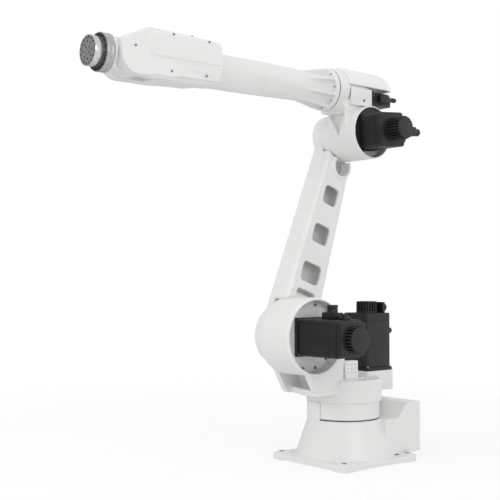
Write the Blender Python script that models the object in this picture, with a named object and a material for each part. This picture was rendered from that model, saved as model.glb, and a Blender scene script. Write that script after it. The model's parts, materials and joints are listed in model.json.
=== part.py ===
"""Six-axis industrial robot arm, floor mounted, built as separate solids.

Frame: origin on the base turning axis at the floor face, +X towards the tool,
+Y on the side of the shoulder and elbow motors, +Z up.
Sizes below are in millimetres; points are scaled to metres as meshes are made.
"""
import math

import bmesh
import bpy
from mathutils import Matrix, Vector

MM = 0.001
GAP = 0.3                    # running or seating gap between neighbouring pieces
MERGE_DISTANCE = 0.000002    # metres, tidies what a Boolean leaves behind

# Joint axes ---------------------------------------------------------------
SHOULDER_X = 205.0           # J2 axis, runs along Y
SHOULDER_Z = 442.0
ELBOW_X = -42.0              # J3 axis, runs along Y
ELBOW_Z = 1149.0
FOREARM_Z = 1297.0           # J4 and J6 axis, runs along X
WRIST_X = 903.0              # J5 axis, runs along Y
ARM_LEAN = math.atan2(SHOULDER_X - ELBOW_X, ELBOW_Z - SHOULDER_Z)
ARM_LENGTH = math.hypot(SHOULDER_X - ELBOW_X, ELBOW_Z - SHOULDER_Z)

# Base ---------------------------------------------------------------------
PLATE_SIDE = 360.0
PLATE_THICK = 22.0
BOLT_SPACING = 300.0
BOLT_RADIUS = 9.0
PAD_RADIUS = 27.0
PAD_TOP = 27.0
CONE_FOOT_RADIUS = 174.0
CONE_TOP_RADIUS = 130.0
CONE_TOP_Z = 146.0
BASE_BORE_RADIUS = 100.0
BASE_BORE_FLOOR = 50.0
BOX_HALF_WIDTH = 145.0
BOX_REAR_X = -237.0
BOX_TOP_Z = 201.0

# Turret -------------------------------------------------------------------
RING_RADIUS = 123.5
RING_BOTTOM_Z = 150.0
RING_TOP_Z = 212.0
DISC_RADIUS = 132.0
DISC_TOP_Z = 289.0
CABLE_BORE_RADIUS = 36.0
DECK_BOTTOM_Z = 241.0
DECK_TOP_Z = 262.0
FACE_Y = 80.0                # front face of the web and the shoulder opening
BARREL_RADIUS = 132.0
BARREL_INNER_RADIUS = 122.0
BARREL_FAR_Y = -86.0
SMALL_BARREL_RADIUS = 112.0

# Lower arm ----------------------------------------------------------------
ARM_NEAR_Y = -28.0
ARM_FAR_Y = -121.0
ARM_GAP_Y = -68.0            # parting plane between lower arm and elbow
FOOT_BOSS_RADIUS = 101.0
HEAD_BOSS_RADIUS = 80.0

# Elbow --------------------------------------------------------------------
ELBOW_RADIUS = 92.5
ELBOW_INNER_RADIUS = 87.0
ELBOW_NEAR_Y = 104.0
ROLL_RING_RADIUS = 76.0
ROLL_FACE_X = 86.0

# Motors -------------------------------------------------------------------
BIG_MOTOR = 130.0
ELBOW_MOTOR = 120.0
ELBOW_MOTOR_TILT = math.radians(4.5)
CAP_RADIUS = 39.0            # finned encoder caps
SHOULDER_CAP_RADIUS = 45.0
ELBOW_CAP_RADIUS = 42.0

# Wrist housing ------------------------------------------------------------
HOUSING_REAR_X = 598.0
HOUSING_HALF_WIDTH = 64.0
COVER_THICK = 2.7
DRIVE_X = 690.0              # motor end of the two wrist belts
DRIVE_TEETH = 24
DRIVEN_TEETH = 36
BELT_PITCH = 5.0
BELT_LOW_Y = 46.0
BELT_HIGH_Y = 58.0

# Tool end -----------------------------------------------------------------
CHEEK_RADIUS = 63.0
CHEEK_INNER_Y = 28.0
TOOL_FACE_X = 1040.0
TOOL_RADIUS = 45.0


# ---------------------------------------------------------------------------
# Scene, materials and placing
# ---------------------------------------------------------------------------
def clear_scene():
    for item in list(bpy.data.objects):
        bpy.data.objects.remove(item)


def make_material(name, colour, roughness, metallic):
    material = bpy.data.materials.new(name)
    material.use_nodes = True
    shader = material.node_tree.nodes["Principled BSDF"]
    shader.inputs["Base Color"].default_value = (*colour, 1.0)
    shader.inputs["Roughness"].default_value = roughness
    shader.inputs["Metallic"].default_value = metallic
    material.diffuse_color = (*colour, 1.0)
    return material


def make_materials():
    return {
        "paint": make_material("white_paint", (0.82, 0.82, 0.81), 0.45, 0.0),
        "cover": make_material("white_cover", (0.84, 0.84, 0.83), 0.40, 0.0),
        "motor": make_material("black_motor", (0.035, 0.035, 0.036), 0.50, 0.0),
        "socket": make_material("black_plastic", (0.02, 0.02, 0.02), 0.45, 0.0),
        "steel": make_material("machined_steel", (0.60, 0.60, 0.60), 0.28, 1.0),
        "dark_steel": make_material("dark_steel", (0.20, 0.20, 0.21), 0.40, 1.0),
        "alloy": make_material("bare_alloy", (0.66, 0.67, 0.68), 0.42, 1.0),
        "rubber": make_material("rubber", (0.05, 0.05, 0.05), 0.80, 0.0),
        "brass": make_material("brass", (0.66, 0.50, 0.23), 0.35, 1.0),
    }


def add_axis(name, location, parent=None):
    empty = bpy.data.objects.new(name, None)
    empty.empty_display_size = 0.1
    bpy.context.collection.objects.link(empty)
    empty.location = Vector(location) * MM
    if parent is not None:
        empty.location -= parent.matrix_world.translation
        empty.parent = parent
    bpy.context.view_layer.update()
    return empty


def link_solid(bm, name):
    bmesh.ops.recalc_face_normals(bm, faces=bm.faces)
    mesh = bpy.data.meshes.new(name)
    bm.to_mesh(mesh)
    bm.free()
    solid = bpy.data.objects.new(name, mesh)
    bpy.context.collection.objects.link(solid)
    return solid


def finish(solid, name, axis, material):
    """Name a solid, give it its material and hang it on its joint's empty."""
    solid.name = name
    solid.data.name = name
    solid.data.materials.clear()
    solid.data.materials.append(material)
    solid.data.shade_smooth()
    solid.data.set_sharp_from_angle(angle=math.radians(35))
    offset = axis.matrix_world.translation
    solid.data.transform(Matrix.Translation(-offset))
    solid.parent = axis
    return solid


# ---------------------------------------------------------------------------
# Outlines: lists of (u, v) points in millimetres
# ---------------------------------------------------------------------------
def arc(centre_u, centre_v, radius, start, stop, steps):
    points = []
    for step in range(steps + 1):
        angle = math.radians(start + (stop - start) * step / steps)
        points.append((centre_u + radius * math.cos(angle), centre_v + radius * math.sin(angle)))
    return points


def round_rectangle(centre_u, centre_v, width, height, radius, steps=3):
    points = []
    corners = ((1, 1, 0), (-1, 1, 90), (-1, -1, 180), (1, -1, 270))
    for side_u, side_v, start in corners:
        corner_u = centre_u + side_u * (width / 2 - radius)
        corner_v = centre_v + side_v * (height / 2 - radius)
        points += arc(corner_u, corner_v, radius, start, start + 90, steps)
    return points


def turned(points, centre_u, centre_v, angle):
    """Turn outline points anticlockwise about a centre by an angle in radians."""
    cosine = math.cos(angle)
    sine = math.sin(angle)
    result = []
    for u, v in points:
        offset_u = u - centre_u
        offset_v = v - centre_v
        result.append((centre_u + offset_u * cosine - offset_v * sine,
                       centre_v + offset_u * sine + offset_v * cosine))
    return result


# ---------------------------------------------------------------------------
# Solids
# ---------------------------------------------------------------------------
def place(axis, u, v, w):
    """Point with w along the axis and (u, v) in the two world axes left over."""
    if axis == "X":
        return Vector((w, u, v)) * MM
    if axis == "Y":
        return Vector((u, w, v)) * MM
    return Vector((u, v, w)) * MM


def loft(axis, sections, warped=False):
    """Closed solid through outlines of equal length, each given as (outline, w).

    Sides that twist between sections are split into triangles.
    """
    bm = bmesh.new()
    loops = []
    for outline, w in sections:
        loops.append([bm.verts.new(place(axis, u, v, w)) for u, v in outline])
    count = len(loops[0])
    for lower, upper in zip(loops, loops[1:]):
        for index in range(count):
            following = (index + 1) % count
            bm.faces.new((lower[index], lower[following], upper[following], upper[index]))
    bm.faces.new(loops[0])
    bm.faces.new(loops[-1])
    if warped:
        bmesh.ops.triangulate(bm, faces=bm.faces)
    return link_solid(bm, "solid")


def prism(axis, outline, low, high):
    return loft(axis, ((outline, low), (outline, high)))


def block(low, high):
    outline = ((low[0], low[1]), (high[0], low[1]), (high[0], high[1]), (low[0], high[1]))
    return prism("Z", outline, low[2], high[2])


def disc(axis, centre_u, centre_v, radius, low, high, steps=40, top_radius=None):
    if top_radius is None:
        top_radius = radius
    step = 360.0 / steps
    return loft(axis, ((arc(centre_u, centre_v, radius, 0, 360 - step, steps - 1), low),
                       (arc(centre_u, centre_v, top_radius, 0, 360 - step, steps - 1), high)))


def turned_solid(axis, centre_u, centre_v, profile, steps=40):
    """Solid of revolution from (radius, w) sections, ends closed flat."""
    step = 360.0 / steps
    sections = [(arc(centre_u, centre_v, radius, 0, 360 - step, steps - 1), w)
                for radius, w in profile]
    return loft(axis, sections)


def combine(solid, tool, operation):
    modifier = solid.modifiers.new("combine", "BOOLEAN")
    modifier.operation = operation
    modifier.solver = "EXACT"
    modifier.object = tool
    graph = bpy.context.evaluated_depsgraph_get()
    mesh = bpy.data.meshes.new_from_object(solid.evaluated_get(graph))
    solid.modifiers.clear()
    bm = bmesh.new()
    bm.from_mesh(mesh)
    bmesh.ops.remove_doubles(bm, verts=bm.verts, dist=MERGE_DISTANCE)
    bmesh.ops.dissolve_degenerate(bm, edges=bm.edges, dist=MERGE_DISTANCE)
    bm.to_mesh(mesh)
    bm.free()
    old_mesh = solid.data
    solid.data = mesh
    bpy.data.meshes.remove(old_mesh)
    bpy.data.objects.remove(tool)
    return solid


def join(solid, *tools):
    for tool in tools:
        combine(solid, tool, "UNION")
    return solid


def cut(solid, *tools):
    for tool in tools:
        combine(solid, tool, "DIFFERENCE")
    return solid


def keep(solid, tool):
    return combine(solid, tool, "INTERSECT")


# ---------------------------------------------------------------------------
# Base, fixed to the floor
# ---------------------------------------------------------------------------
def base_casting():
    half = PLATE_SIDE / 2
    solid = prism("Z", round_rectangle(0, 0, PLATE_SIDE, PLATE_SIDE, 8, 2), 0, PLATE_THICK)
    join(solid, disc("Z", 0, 0, CONE_FOOT_RADIUS, PLATE_THICK - 4, CONE_TOP_Z - 4, 44, CONE_TOP_RADIUS))
    join(solid, disc("Z", 0, 0, CONE_TOP_RADIUS, CONE_TOP_Z - 5, CONE_TOP_Z, 44))
    housing = [(BOX_REAR_X, 26), (-60, 26), (-60, 147.4), (-124, 149.2), (-172, BOX_TOP_Z),
               (BOX_REAR_X, BOX_TOP_Z)]
    join(solid, prism("Y", housing, -BOX_HALF_WIDTH, BOX_HALF_WIDTH))
    edge = half - 0.5
    for side_x, side_y in ((1, 1), (1, -1), (-1, 1), (-1, -1)):
        centre_x = side_x * BOLT_SPACING / 2
        centre_y = side_y * BOLT_SPACING / 2
        pad = disc("Z", centre_x, centre_y, PAD_RADIUS, PLATE_THICK - 3, PAD_TOP, 20)
        join(solid, keep(pad, block((-edge, -edge, 0), (edge, edge, PAD_TOP + 1))))
    for side_x, side_y in ((1, 1), (1, -1), (-1, 1), (-1, -1)):
        centre_x = side_x * (BOLT_SPACING / 2 + 5)
        centre_y = side_y * (BOLT_SPACING / 2 + 5)
        cut(solid, disc("Z", centre_x, centre_y, BOLT_RADIUS, -1, PAD_TOP + 2, 12))
    cut(solid, disc("Z", 0, 0, BASE_BORE_RADIUS, BASE_BORE_FLOOR, CONE_TOP_Z + 20, 40))
    # connector room at the rear and the cable way from it to the bore
    cut(solid, block((BOX_REAR_X - 5, -108, 44), (-178, 108, 180)))
    cut(solid, block((-182, -40, 60), (-80, 40, 110)))
    return solid


def base_rear_panel():
    panel = prism("X", round_rectangle(0, 112, 246, 160, 8, 3), BOX_REAR_X - 5, BOX_REAR_X - GAP)
    join(panel, disc("X", 55, 118, 24, BOX_REAR_X - 9, BOX_REAR_X - 3, 20))
    join(panel, disc("X", -55, 118, 20, BOX_REAR_X - 9, BOX_REAR_X - 3, 20))
    return panel


def round_socket(axis, centre_u, centre_v, face, outward, radius, length):
    """Round plug socket standing on a face, bored from its open end."""
    end = face + outward * length
    seat = face + outward * GAP
    low, high = sorted((seat + outward, end))
    collar_low, collar_high = sorted((seat, face + outward * length * 0.3))
    socket = disc(axis, centre_u, centre_v, radius * 0.86, low, high, 16)
    join(socket, disc(axis, centre_u, centre_v, radius, collar_low, collar_high, 16))
    bore_low, bore_high = sorted((face + outward * length * 0.45, end + outward * 5))
    cut(socket, disc(axis, centre_u, centre_v, radius * 0.62, bore_low, bore_high, 12))
    return socket


def sector(inner, outer, start, stop, low, high, steps=8):
    outline = arc(0, 0, outer, start, stop, steps) + arc(0, 0, inner, stop, start, steps)
    return prism("Z", outline, low, high)


def base_stop_block():
    return sector(RING_RADIUS + 0.6, 131, -38, 4, CONE_TOP_Z + GAP, RING_TOP_Z - 1.0)


def base_reducer_case():
    case = disc("Z", 0, 0, BASE_BORE_RADIUS - 0.7, BASE_BORE_FLOOR + GAP, 138, 28)
    cut(case, disc("Z", 0, 0, 38, 0, 200, 20))
    cut(case, disc("Z", 0, 0, 72, 112, 200, 24))
    return case


def cable_sleeve():
    sleeve = disc("Z", 0, 0, 31, BASE_BORE_FLOOR + GAP, 240, 20)
    cut(sleeve, disc("Z", 0, 0, 27, 0, 300, 20))
    cut(sleeve, block((-60, -14, 62), (0, 14, 96)))
    return sleeve


# ---------------------------------------------------------------------------
# Turret, turning on J1
# ---------------------------------------------------------------------------
def web_outline(front_shift=0.0):
    """Side outline of a shoulder web: wide at the barrel, narrow at the deck."""
    return [(198 + front_shift, DECK_BOTTOM_Z), (216 + front_shift, DECK_TOP_Z),
            (273 + front_shift, 372), (290 + front_shift, 410), (205, 442), (84, 392), (76, 362),
            (90, 322), (134, DECK_TOP_Z), (150, DECK_BOTTOM_Z)]


def turret_casting():
    solid = disc("Z", 0, 0, RING_RADIUS, RING_BOTTOM_Z, RING_TOP_Z + 2, 44)
    join(solid, disc("Z", 0, 0, DISC_RADIUS, RING_TOP_Z, DISC_TOP_Z, 44))
    deck = [(-40, 60), (150, FACE_Y), (208, FACE_Y), (208, 15), (158, -115), (-20, -115)]
    join(solid, prism("Z", deck, DECK_BOTTOM_Z, DECK_TOP_Z))
    join(solid, prism("Y", web_outline(), FACE_Y - 24, FACE_Y))
    join(solid, prism("Y", web_outline(-14), -112, -88.5))
    spine = [(76, 240), (150, 240), (170, 345), (90, 380), (70, 340)]
    join(solid, prism("Y", spine, -100, 70))
    barrel = turned_solid("Y", SHOULDER_X, SHOULDER_Z,
                          ((SMALL_BARREL_RADIUS, BARREL_FAR_Y), (BARREL_RADIUS, BARREL_FAR_Y + 22),
                           (BARREL_RADIUS, FACE_Y - 16), (BARREL_RADIUS - 6, FACE_Y)), 48)
    join(solid, barrel)
    cut(solid, disc("Y", SHOULDER_X, SHOULDER_Z, BARREL_INNER_RADIUS, -20, FACE_Y + 10, 40))
    cut(solid, disc("Y", SHOULDER_X, SHOULDER_Z, 92, -130, 0, 40))
    # the far web stops short of the lower arm's foot boss
    cut(solid, disc("Y", SHOULDER_X, SHOULDER_Z, FOOT_BOSS_RADIUS + 5, -130, BARREL_FAR_Y, 40))
    cut(solid, disc("Z", 0, 0, CABLE_BORE_RADIUS, 100, 320, 24))
    cut(solid, disc("Z", 0, 0, 97, 100, RING_BOTTOM_Z + 12, 40))
    return solid


def turret_output_plate():
    plate = disc("Z", 0, 0, 96, 139, RING_BOTTOM_Z + 11.5, 28)
    cut(plate, disc("Z", 0, 0, CABLE_BORE_RADIUS, 100, 200, 20))
    return plate


def turret_stop_striker():
    return sector(RING_RADIUS + 0.5, 131, 160.5, 165.5, 172, RING_TOP_Z - GAP, 2)


def turret_cover():
    """Thin lid over the cable bore on top of the turret disc."""
    lid = prism("Z", round_rectangle(20, 35, 92, 76, 12, 3), DISC_TOP_Z + GAP, DISC_TOP_Z + 4)
    return lid


def cable_clamp_block():
    block_solid = block((-2, 38, DISC_TOP_Z + 4 + GAP), (58, 66, 352))
    for level in (312, 326, 340):
        for offset in (10, 28, 46):
            cut(block_solid, disc("Y", offset, level, 3.2, 60, 70, 6))
    return block_solid


def base_motor_bracket():
    outline = [(-218, -99), (-84, -99), (-84, 35), (-218, 35)]
    bracket = prism("Z", outline, 236, 305.7)
    cut(bracket, disc("Z", 0, 0, DISC_RADIUS + GAP, 200, DISC_TOP_Z + GAP, 64))
    cut(bracket, disc("Z", -153, -34, 44, 252, 330, 28))
    return bracket


def servo_body(axis, centre_u, centre_v, side, low, high, flange, tilt=0.0):
    """Square servo housing with chamfered corners and a wider front flange.

    The flange is at the low end of the axis.
    """
    flange_outline = round_rectangle(centre_u, centre_v, side, side, 4, 2)
    body_side = side - 7
    body_outline = round_rectangle(centre_u, centre_v, body_side, body_side, 12, 2)
    if tilt:
        flange_outline = turned(flange_outline, centre_u, centre_v, tilt)
        body_outline = turned(body_outline, centre_u, centre_v, tilt)
    body = prism(axis, body_outline, low + flange - 1, high)
    join(body, prism(axis, flange_outline, low, low + flange))
    return body


def finned_cap(axis, centre_u, centre_v, low, high, radius=CAP_RADIUS, fins=12):
    """Round encoder cap with cooling fins between a base ring and an end disc."""
    depth = high - low
    cap = turned_solid(axis, centre_u, centre_v,
                       ((radius * 0.8, low + GAP), (radius * 0.78, high - 1)), 24)
    join(cap, disc(axis, centre_u, centre_v, radius, low + GAP, low + depth * 0.16, 24))
    join(cap, disc(axis, centre_u, centre_v, radius * 0.92, high - 4, high, 24))
    for fin in range(fins):
        angle = math.radians(360.0 * (fin + 0.5) / fins)
        inner = radius * 0.6
        outline = [(inner, -2.2), (radius - 0.4, -2.2), (radius - 0.4, 2.2), (inner, 2.2)]
        outline = [(centre_u + u, centre_v + v) for u, v in outline]
        blade = prism(axis, turned(outline, centre_u, centre_v, angle), low + depth * 0.1, high - 2)
        join(cap, blade)
    return cap


def square_socket(low, high, axis, socket_radius, socket_length):
    """Rectangular connector base with a round plug socket on its outer side.

    The socket stands on the high side of the given axis, or on the low side
    when the length is negative.
    """
    base = block(low, high)
    index = "XYZ".index(axis)
    middle = [(a + b) / 2 for a, b in zip(low, high)]
    face = high[index] if socket_length > 0 else low[index]
    others = [middle[i] for i in range(3) if i != index]
    start, stop = sorted((face - math.copysign(2, socket_length), face + socket_length))
    join(base, disc(axis, others[0], others[1], socket_radius, start, stop, 16))
    bore_start, bore_stop = sorted((face + socket_length * 0.4, face + socket_length * 1.5))
    cut(base, disc(axis, others[0], others[1], socket_radius * 0.68, bore_start, bore_stop, 12))
    return base


# ---------------------------------------------------------------------------
# Lower arm, turning on J2
# ---------------------------------------------------------------------------
def along_arm(distance, offset):
    """Point in the XZ plane, at a distance up the arm and an offset to its front."""
    x = SHOULDER_X - distance * math.sin(ARM_LEAN) + offset * math.cos(ARM_LEAN)
    z = SHOULDER_Z + distance * math.cos(ARM_LEAN) + offset * math.sin(ARM_LEAN)
    return (x, z)


def arm_half_depth(distance):
    """Half the arm's depth, tapering from foot to head."""
    return 88.0 - 34.0 * distance / ARM_LENGTH


def arm_outline(start, stop):
    front_low = along_arm(start, arm_half_depth(start))
    front_high = along_arm(stop, arm_half_depth(stop))
    rear_high = along_arm(stop, -arm_half_depth(stop))
    rear_low = along_arm(start, -arm_half_depth(start))
    return [front_low, front_high, rear_high, rear_low]


# windows in the near face: distance up the arm, width, height
WINDOW_ROWS = ((131.0, 88.0, 62.0), (226.0, 84.0, 68.0), (371.0, 70.0, 66.0), (517.0, 58.0, 64.0))


def window_outline(row):
    distance, width, height = row
    centre = along_arm(distance, 0)
    upright = round_rectangle(centre[0], centre[1], width, height, 14, 2)
    return turned(upright, centre[0], centre[1], ARM_LEAN)


def lower_arm_casting():
    beam = prism("Y", arm_outline(0, ARM_LENGTH), ARM_FAR_Y, ARM_NEAR_Y)
    join(beam, disc("Y", SHOULDER_X, SHOULDER_Z, FOOT_BOSS_RADIUS, -127, ARM_NEAR_Y, 40))
    join(beam, disc("Y", ELBOW_X, ELBOW_Z, HEAD_BOSS_RADIUS, ARM_FAR_Y, ARM_NEAR_Y, 40))
    # room for the shoulder barrel and the elbow barrel
    cut(beam, disc("Y", SHOULDER_X, SHOULDER_Z, BARREL_RADIUS + 4, BARREL_FAR_Y - 1.5, 0, 48))
    cut(beam, disc("Y", ELBOW_X, ELBOW_Z, ELBOW_RADIUS + 4, ARM_GAP_Y - 1.5, 0, 40))
    cut(beam, disc("Y", SHOULDER_X, SHOULDER_Z, 84, -140, -95, 36))
    cut(beam, disc("Y", SHOULDER_X, SHOULDER_Z, 40, -140, -60, 24))
    cut(beam, disc("Y", ELBOW_X, ELBOW_Z, 62, -140, -100, 36))
    cut(beam, disc("Y", ELBOW_X, ELBOW_Z, 40, -140, -20, 24))
    # hollow core between the bosses, open through the windows
    inside = [along_arm(151, arm_half_depth(151) - 14), along_arm(580, arm_half_depth(580) - 12),
              along_arm(580, 12 - arm_half_depth(580)), along_arm(151, 14 - arm_half_depth(151))]
    cut(beam, prism("Y", inside, ARM_FAR_Y + 12, ARM_NEAR_Y - 12))
    for row in WINDOW_ROWS:
        cut(beam, prism("Y", window_outline(row), ARM_NEAR_Y - 20, ARM_NEAR_Y + 5))
    # scoop under the elbow barrel, open to the room round the barrel
    scoop_x, scoop_z = along_arm(634, -10)
    scoop = turned_solid("Y", scoop_x, scoop_z,
                         ((50, ARM_NEAR_Y - 4), (49, ARM_NEAR_Y), (41, ARM_NEAR_Y + 12)), 32)
    cut(scoop, disc("Y", ELBOW_X, ELBOW_Z, ELBOW_RADIUS + 5, -60, 20, 36))
    join(beam, scoop)
    cut(beam, disc("Y", scoop_x, scoop_z, 35, ARM_NEAR_Y - 26, ARM_NEAR_Y + 20, 32))
    return beam


def ring_plate(axis, centre_u, centre_v, outer, inner, low, high, steps=28):
    ring = disc(axis, centre_u, centre_v, outer, low, high, steps)
    cut(ring, disc(axis, centre_u, centre_v, inner, low - 5, high + 5, steps))
    return ring


def reducer_unit(axis, centre_u, centre_v, outer, inner, low, high):
    """Gear reducer drawn as one turned block with a hollow centre."""
    depth = high - low
    unit = turned_solid(axis, centre_u, centre_v,
                        ((outer * 0.9, low), (outer, low + depth * 0.25), (outer, high)), 24)
    cut(unit, disc(axis, centre_u, centre_v, inner, low - 5, high + 5, 16))
    return unit


def round_cover(centre_u, centre_v, radius, low, high):
    """Slightly domed round cover facing -Y."""
    return turned_solid("Y", centre_u, centre_v, ((radius - 5, low), (radius, low + 4), (radius, high)), 32)


# ---------------------------------------------------------------------------
# Elbow, turning on J3
# ---------------------------------------------------------------------------
def elbow_casting():
    solid = turned_solid("Y", ELBOW_X, ELBOW_Z,
                         ((ELBOW_RADIUS - 8, ARM_GAP_Y), (ELBOW_RADIUS, ARM_GAP_Y + 10),
                          (ELBOW_RADIUS, ELBOW_NEAR_Y - 3), (ELBOW_RADIUS - 2, ELBOW_NEAR_Y)), 44)
    # neck between the elbow barrel and the roll housing
    neck = [(64, 1250), (52, 1222), (50, ELBOW_Z), (ELBOW_X, 1070), (-130, 1120), (-150, 1190),
            (-96, 1250)]
    join(solid, prism("Y", neck, ARM_NEAR_Y + 1.2, 60))
    roll = turned_solid("X", 0, FOREARM_Z, ((60, -71.7), (68, -40), (70, 43)), 40)
    join(solid, roll)
    join(solid, disc("X", 0, FOREARM_Z, ROLL_RING_RADIUS, 42, ROLL_FACE_X - 1.2, 40))
    shoulder_plate = [(-66, 1222), (52, 1222), (60, 1262), (-66, 1262)]
    join(solid, prism("Y", shoulder_plate, -58, 66))
    # three-sided pocket in the front of the neck
    cut(solid, prism("X", [(-24, 1216), (54, 1214), (24, 1136)], 30, 90))
    # motor well: round at the mouth, square around the motor flange
    cut(solid, disc("Y", ELBOW_X, ELBOW_Z, ELBOW_INNER_RADIUS, 66, ELBOW_NEAR_Y + 10, 40))
    well = round_rectangle(ELBOW_X, ELBOW_Z, ELBOW_MOTOR + 3, ELBOW_MOTOR + 3, 5, 2)
    cut(solid, prism("Y", turned(well, ELBOW_X, ELBOW_Z, -ELBOW_MOTOR_TILT), 23.7, 70))
    cut(solid, disc("Y", ELBOW_X, ELBOW_Z, 56, -58, 30, 36))
    cut(solid, disc("Y", ELBOW_X, ELBOW_Z, 41, -80, -40, 28))
    cut(solid, disc("X", 0, FOREARM_Z, 58, -60, 100, 36))
    return solid


def elbow_rear_cover():
    """Half-round lid over the roll gearing and its motor, falling away to the rear."""
    sections = []
    for radius, x in ((50, -190), (66, -176), (73, -140), (75, -60), (75, 41)):
        outline = arc(0, FOREARM_Z + 8, radius, 0, 180, 14)
        outline = [(y, max(z, FOREARM_Z + 16)) for y, z in outline]
        sections.append((outline, x))
    cover = loft("X", sections)
    cut(cover, disc("X", 0, FOREARM_Z, 70.6, -74, 60, 40))
    cut(cover, disc("X", 0, FOREARM_Z + 6, 62, -172, -70, 36))
    return cover


def roll_gear_bracket():
    """Block on the side of the neck that carries the roll motor's screws."""
    bracket = block((-64, 66 + GAP, 1243), (38, 78, 1303))
    cut(bracket, disc("X", 0, FOREARM_Z, ROLL_RING_RADIUS + 0.5, -80, 60, 40))
    cut(bracket, disc("Y", -32, 1262, 3.4, 70, 90, 8))
    return bracket


def roll_motor():
    """Flat servo lying along X behind the roll housing."""
    body = prism("X", round_rectangle(20, 1281, 80, 52, 6, 2), -94, -72)
    join(body, prism("X", round_rectangle(20, 1281, 74, 46, 6, 2), -176, -93))
    join(body, prism("X", round_rectangle(20, 1276, 66, 36, 6, 2), -188, -175))
    return body


# ---------------------------------------------------------------------------
# Forearm, rolling on J4
# ---------------------------------------------------------------------------
def forearm_rib(angle):
    """Tapering rib on the forearm's root, at an angle round its axis."""
    profile = [(100, 40), (100, 73), (130, 70), (175, 61), (216, 53.2), (216, 40)]
    rib = prism("Y", profile, -3.5, 3.5)
    to_axis = Matrix.Translation((0, 0, FOREARM_Z * MM))
    rib.data.transform(to_axis @ Matrix.Rotation(angle, 4, "X"))
    return rib


def forearm_flare():
    """Flanged and ribbed root of the forearm."""
    solid = turned_solid("X", 0, FOREARM_Z,
                         ((ROLL_RING_RADIUS - 2, ROLL_FACE_X + 1.2), (ROLL_RING_RADIUS - 2, 104)), 40)
    core = turned_solid("X", 0, FOREARM_Z,
                        ((53, 100), (51, 160), (52, 215), (54, 300), (56, 404)), 40)
    join(solid, core)
    for index in range(8):
        join(solid, forearm_rib(math.radians(22.5 + 45 * index)))
    cut(solid, disc("X", 0, FOREARM_Z, 36, 0, 500, 32))
    return solid


def forearm_tube():
    solid = turned_solid("X", 0, FOREARM_Z, ((56, 404 + GAP), (56.5, 500), (57, HOUSING_REAR_X - GAP)), 40)
    cut(solid, disc("X", 0, FOREARM_Z, 44, 300, 700, 28))
    return solid


# Housing sections along X: x, top, bottom, lower half width, bottom corner
# radius.  Heights are measured from the forearm axis.
HOUSING_SECTIONS = ((HOUSING_REAR_X, 77, -56, 60, 44), (640, 78, -57, 60, 40), (682, 80, -64, 59, 32),
                    (744, 82, -64, 58, 22), (800, 83, -64, HOUSING_HALF_WIDTH, 6),
                    (872, 84, -64, HOUSING_HALF_WIDTH, 6))
TAPER_TOP = -4.0             # the sides lean in below this height
FACE_STEP = 0.2              # keeps joined shapes from sharing a face
# Cover sections along X: x, top, then height and half width of the skirt's bend
# and of its lower edge.
COVER_SECTIONS = ((HOUSING_REAR_X, 74, -24, 61, -45, 51), (744, 79, -26, 62, -50, 60.5),
                  (800, 80, -29, 64.4, -57, 64.4), (814, 80, -30, 64.4, -58, 64.4))


def housing_outline(top, bottom, lower_half, radius, inset=0.0):
    """Section across the housing, shrunk on every side by an inset."""
    z = FOREARM_Z
    half = HOUSING_HALF_WIDTH - inset
    lower_half = lower_half - inset
    top = top - inset
    bottom = bottom + inset
    radius = max(radius - inset, 3)
    points = [(half, z + TAPER_TOP), (half, z + top - 4), (half - 4, z + top), (4 - half, z + top),
              (-half, z + top - 4), (-half, z + TAPER_TOP)]
    points += arc(radius - lower_half, z + bottom + radius, radius, 180, 270, 4)
    points += arc(lower_half - radius, z + bottom + radius, radius, 270, 360, 4)
    return points


def housing_loft(inset, first, last):
    sections = []
    for x, top, bottom, lower_half, radius in HOUSING_SECTIONS:
        outline = housing_outline(top, bottom, lower_half, radius, inset)
        sections.append((outline, min(max(x, first), last)))
    return loft("X", sections, warped=True)


def wrist_casting():
    """Hollow housing that carries the wrist drives and ends in a two-cheek fork."""
    z = FOREARM_Z
    solid = housing_loft(0, HOUSING_REAR_X, 872)
    side = arc(WRIST_X, z, CHEEK_RADIUS, -90, 84, 14)
    side += [(871, z + 83), (800, z + 80), (800, z - 58), (852, z - 58), (868, z - 63)]
    cheek_half = HOUSING_HALF_WIDTH - FACE_STEP
    join(solid, prism("Y", side, -cheek_half, cheek_half))
    slot = [(WRIST_X + 80, z + 90), (WRIST_X - 70, z + 90), (WRIST_X - 70, z - 90), (WRIST_X + 80, z - 90)]
    cut(solid, prism("Y", slot, -CHEEK_INNER_Y, CHEEK_INNER_Y))
    cut(solid, housing_loft(10, HOUSING_REAR_X + 10, 818))
    # side openings under the covers
    opening = [(616, z + 64), (616, z - 26), (806, z - 30), (806, z + 64)]
    cut(solid, prism("Y", opening, -90, 90))
    for direction in (1, -1):
        low, high = sorted((direction * (CHEEK_INNER_Y + 10), direction * 90))
        channel = arc(WRIST_X, z, 36, -90, 90, 10) + [(790, z + 36), (790, z - 36)]
        cut(solid, prism("Y", channel, low, high))
    cut(solid, disc("Y", WRIST_X, z, 16, -100, 100, 20))
    cut(solid, disc("X", 0, z, 44, 560, 640, 28))
    return solid


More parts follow.
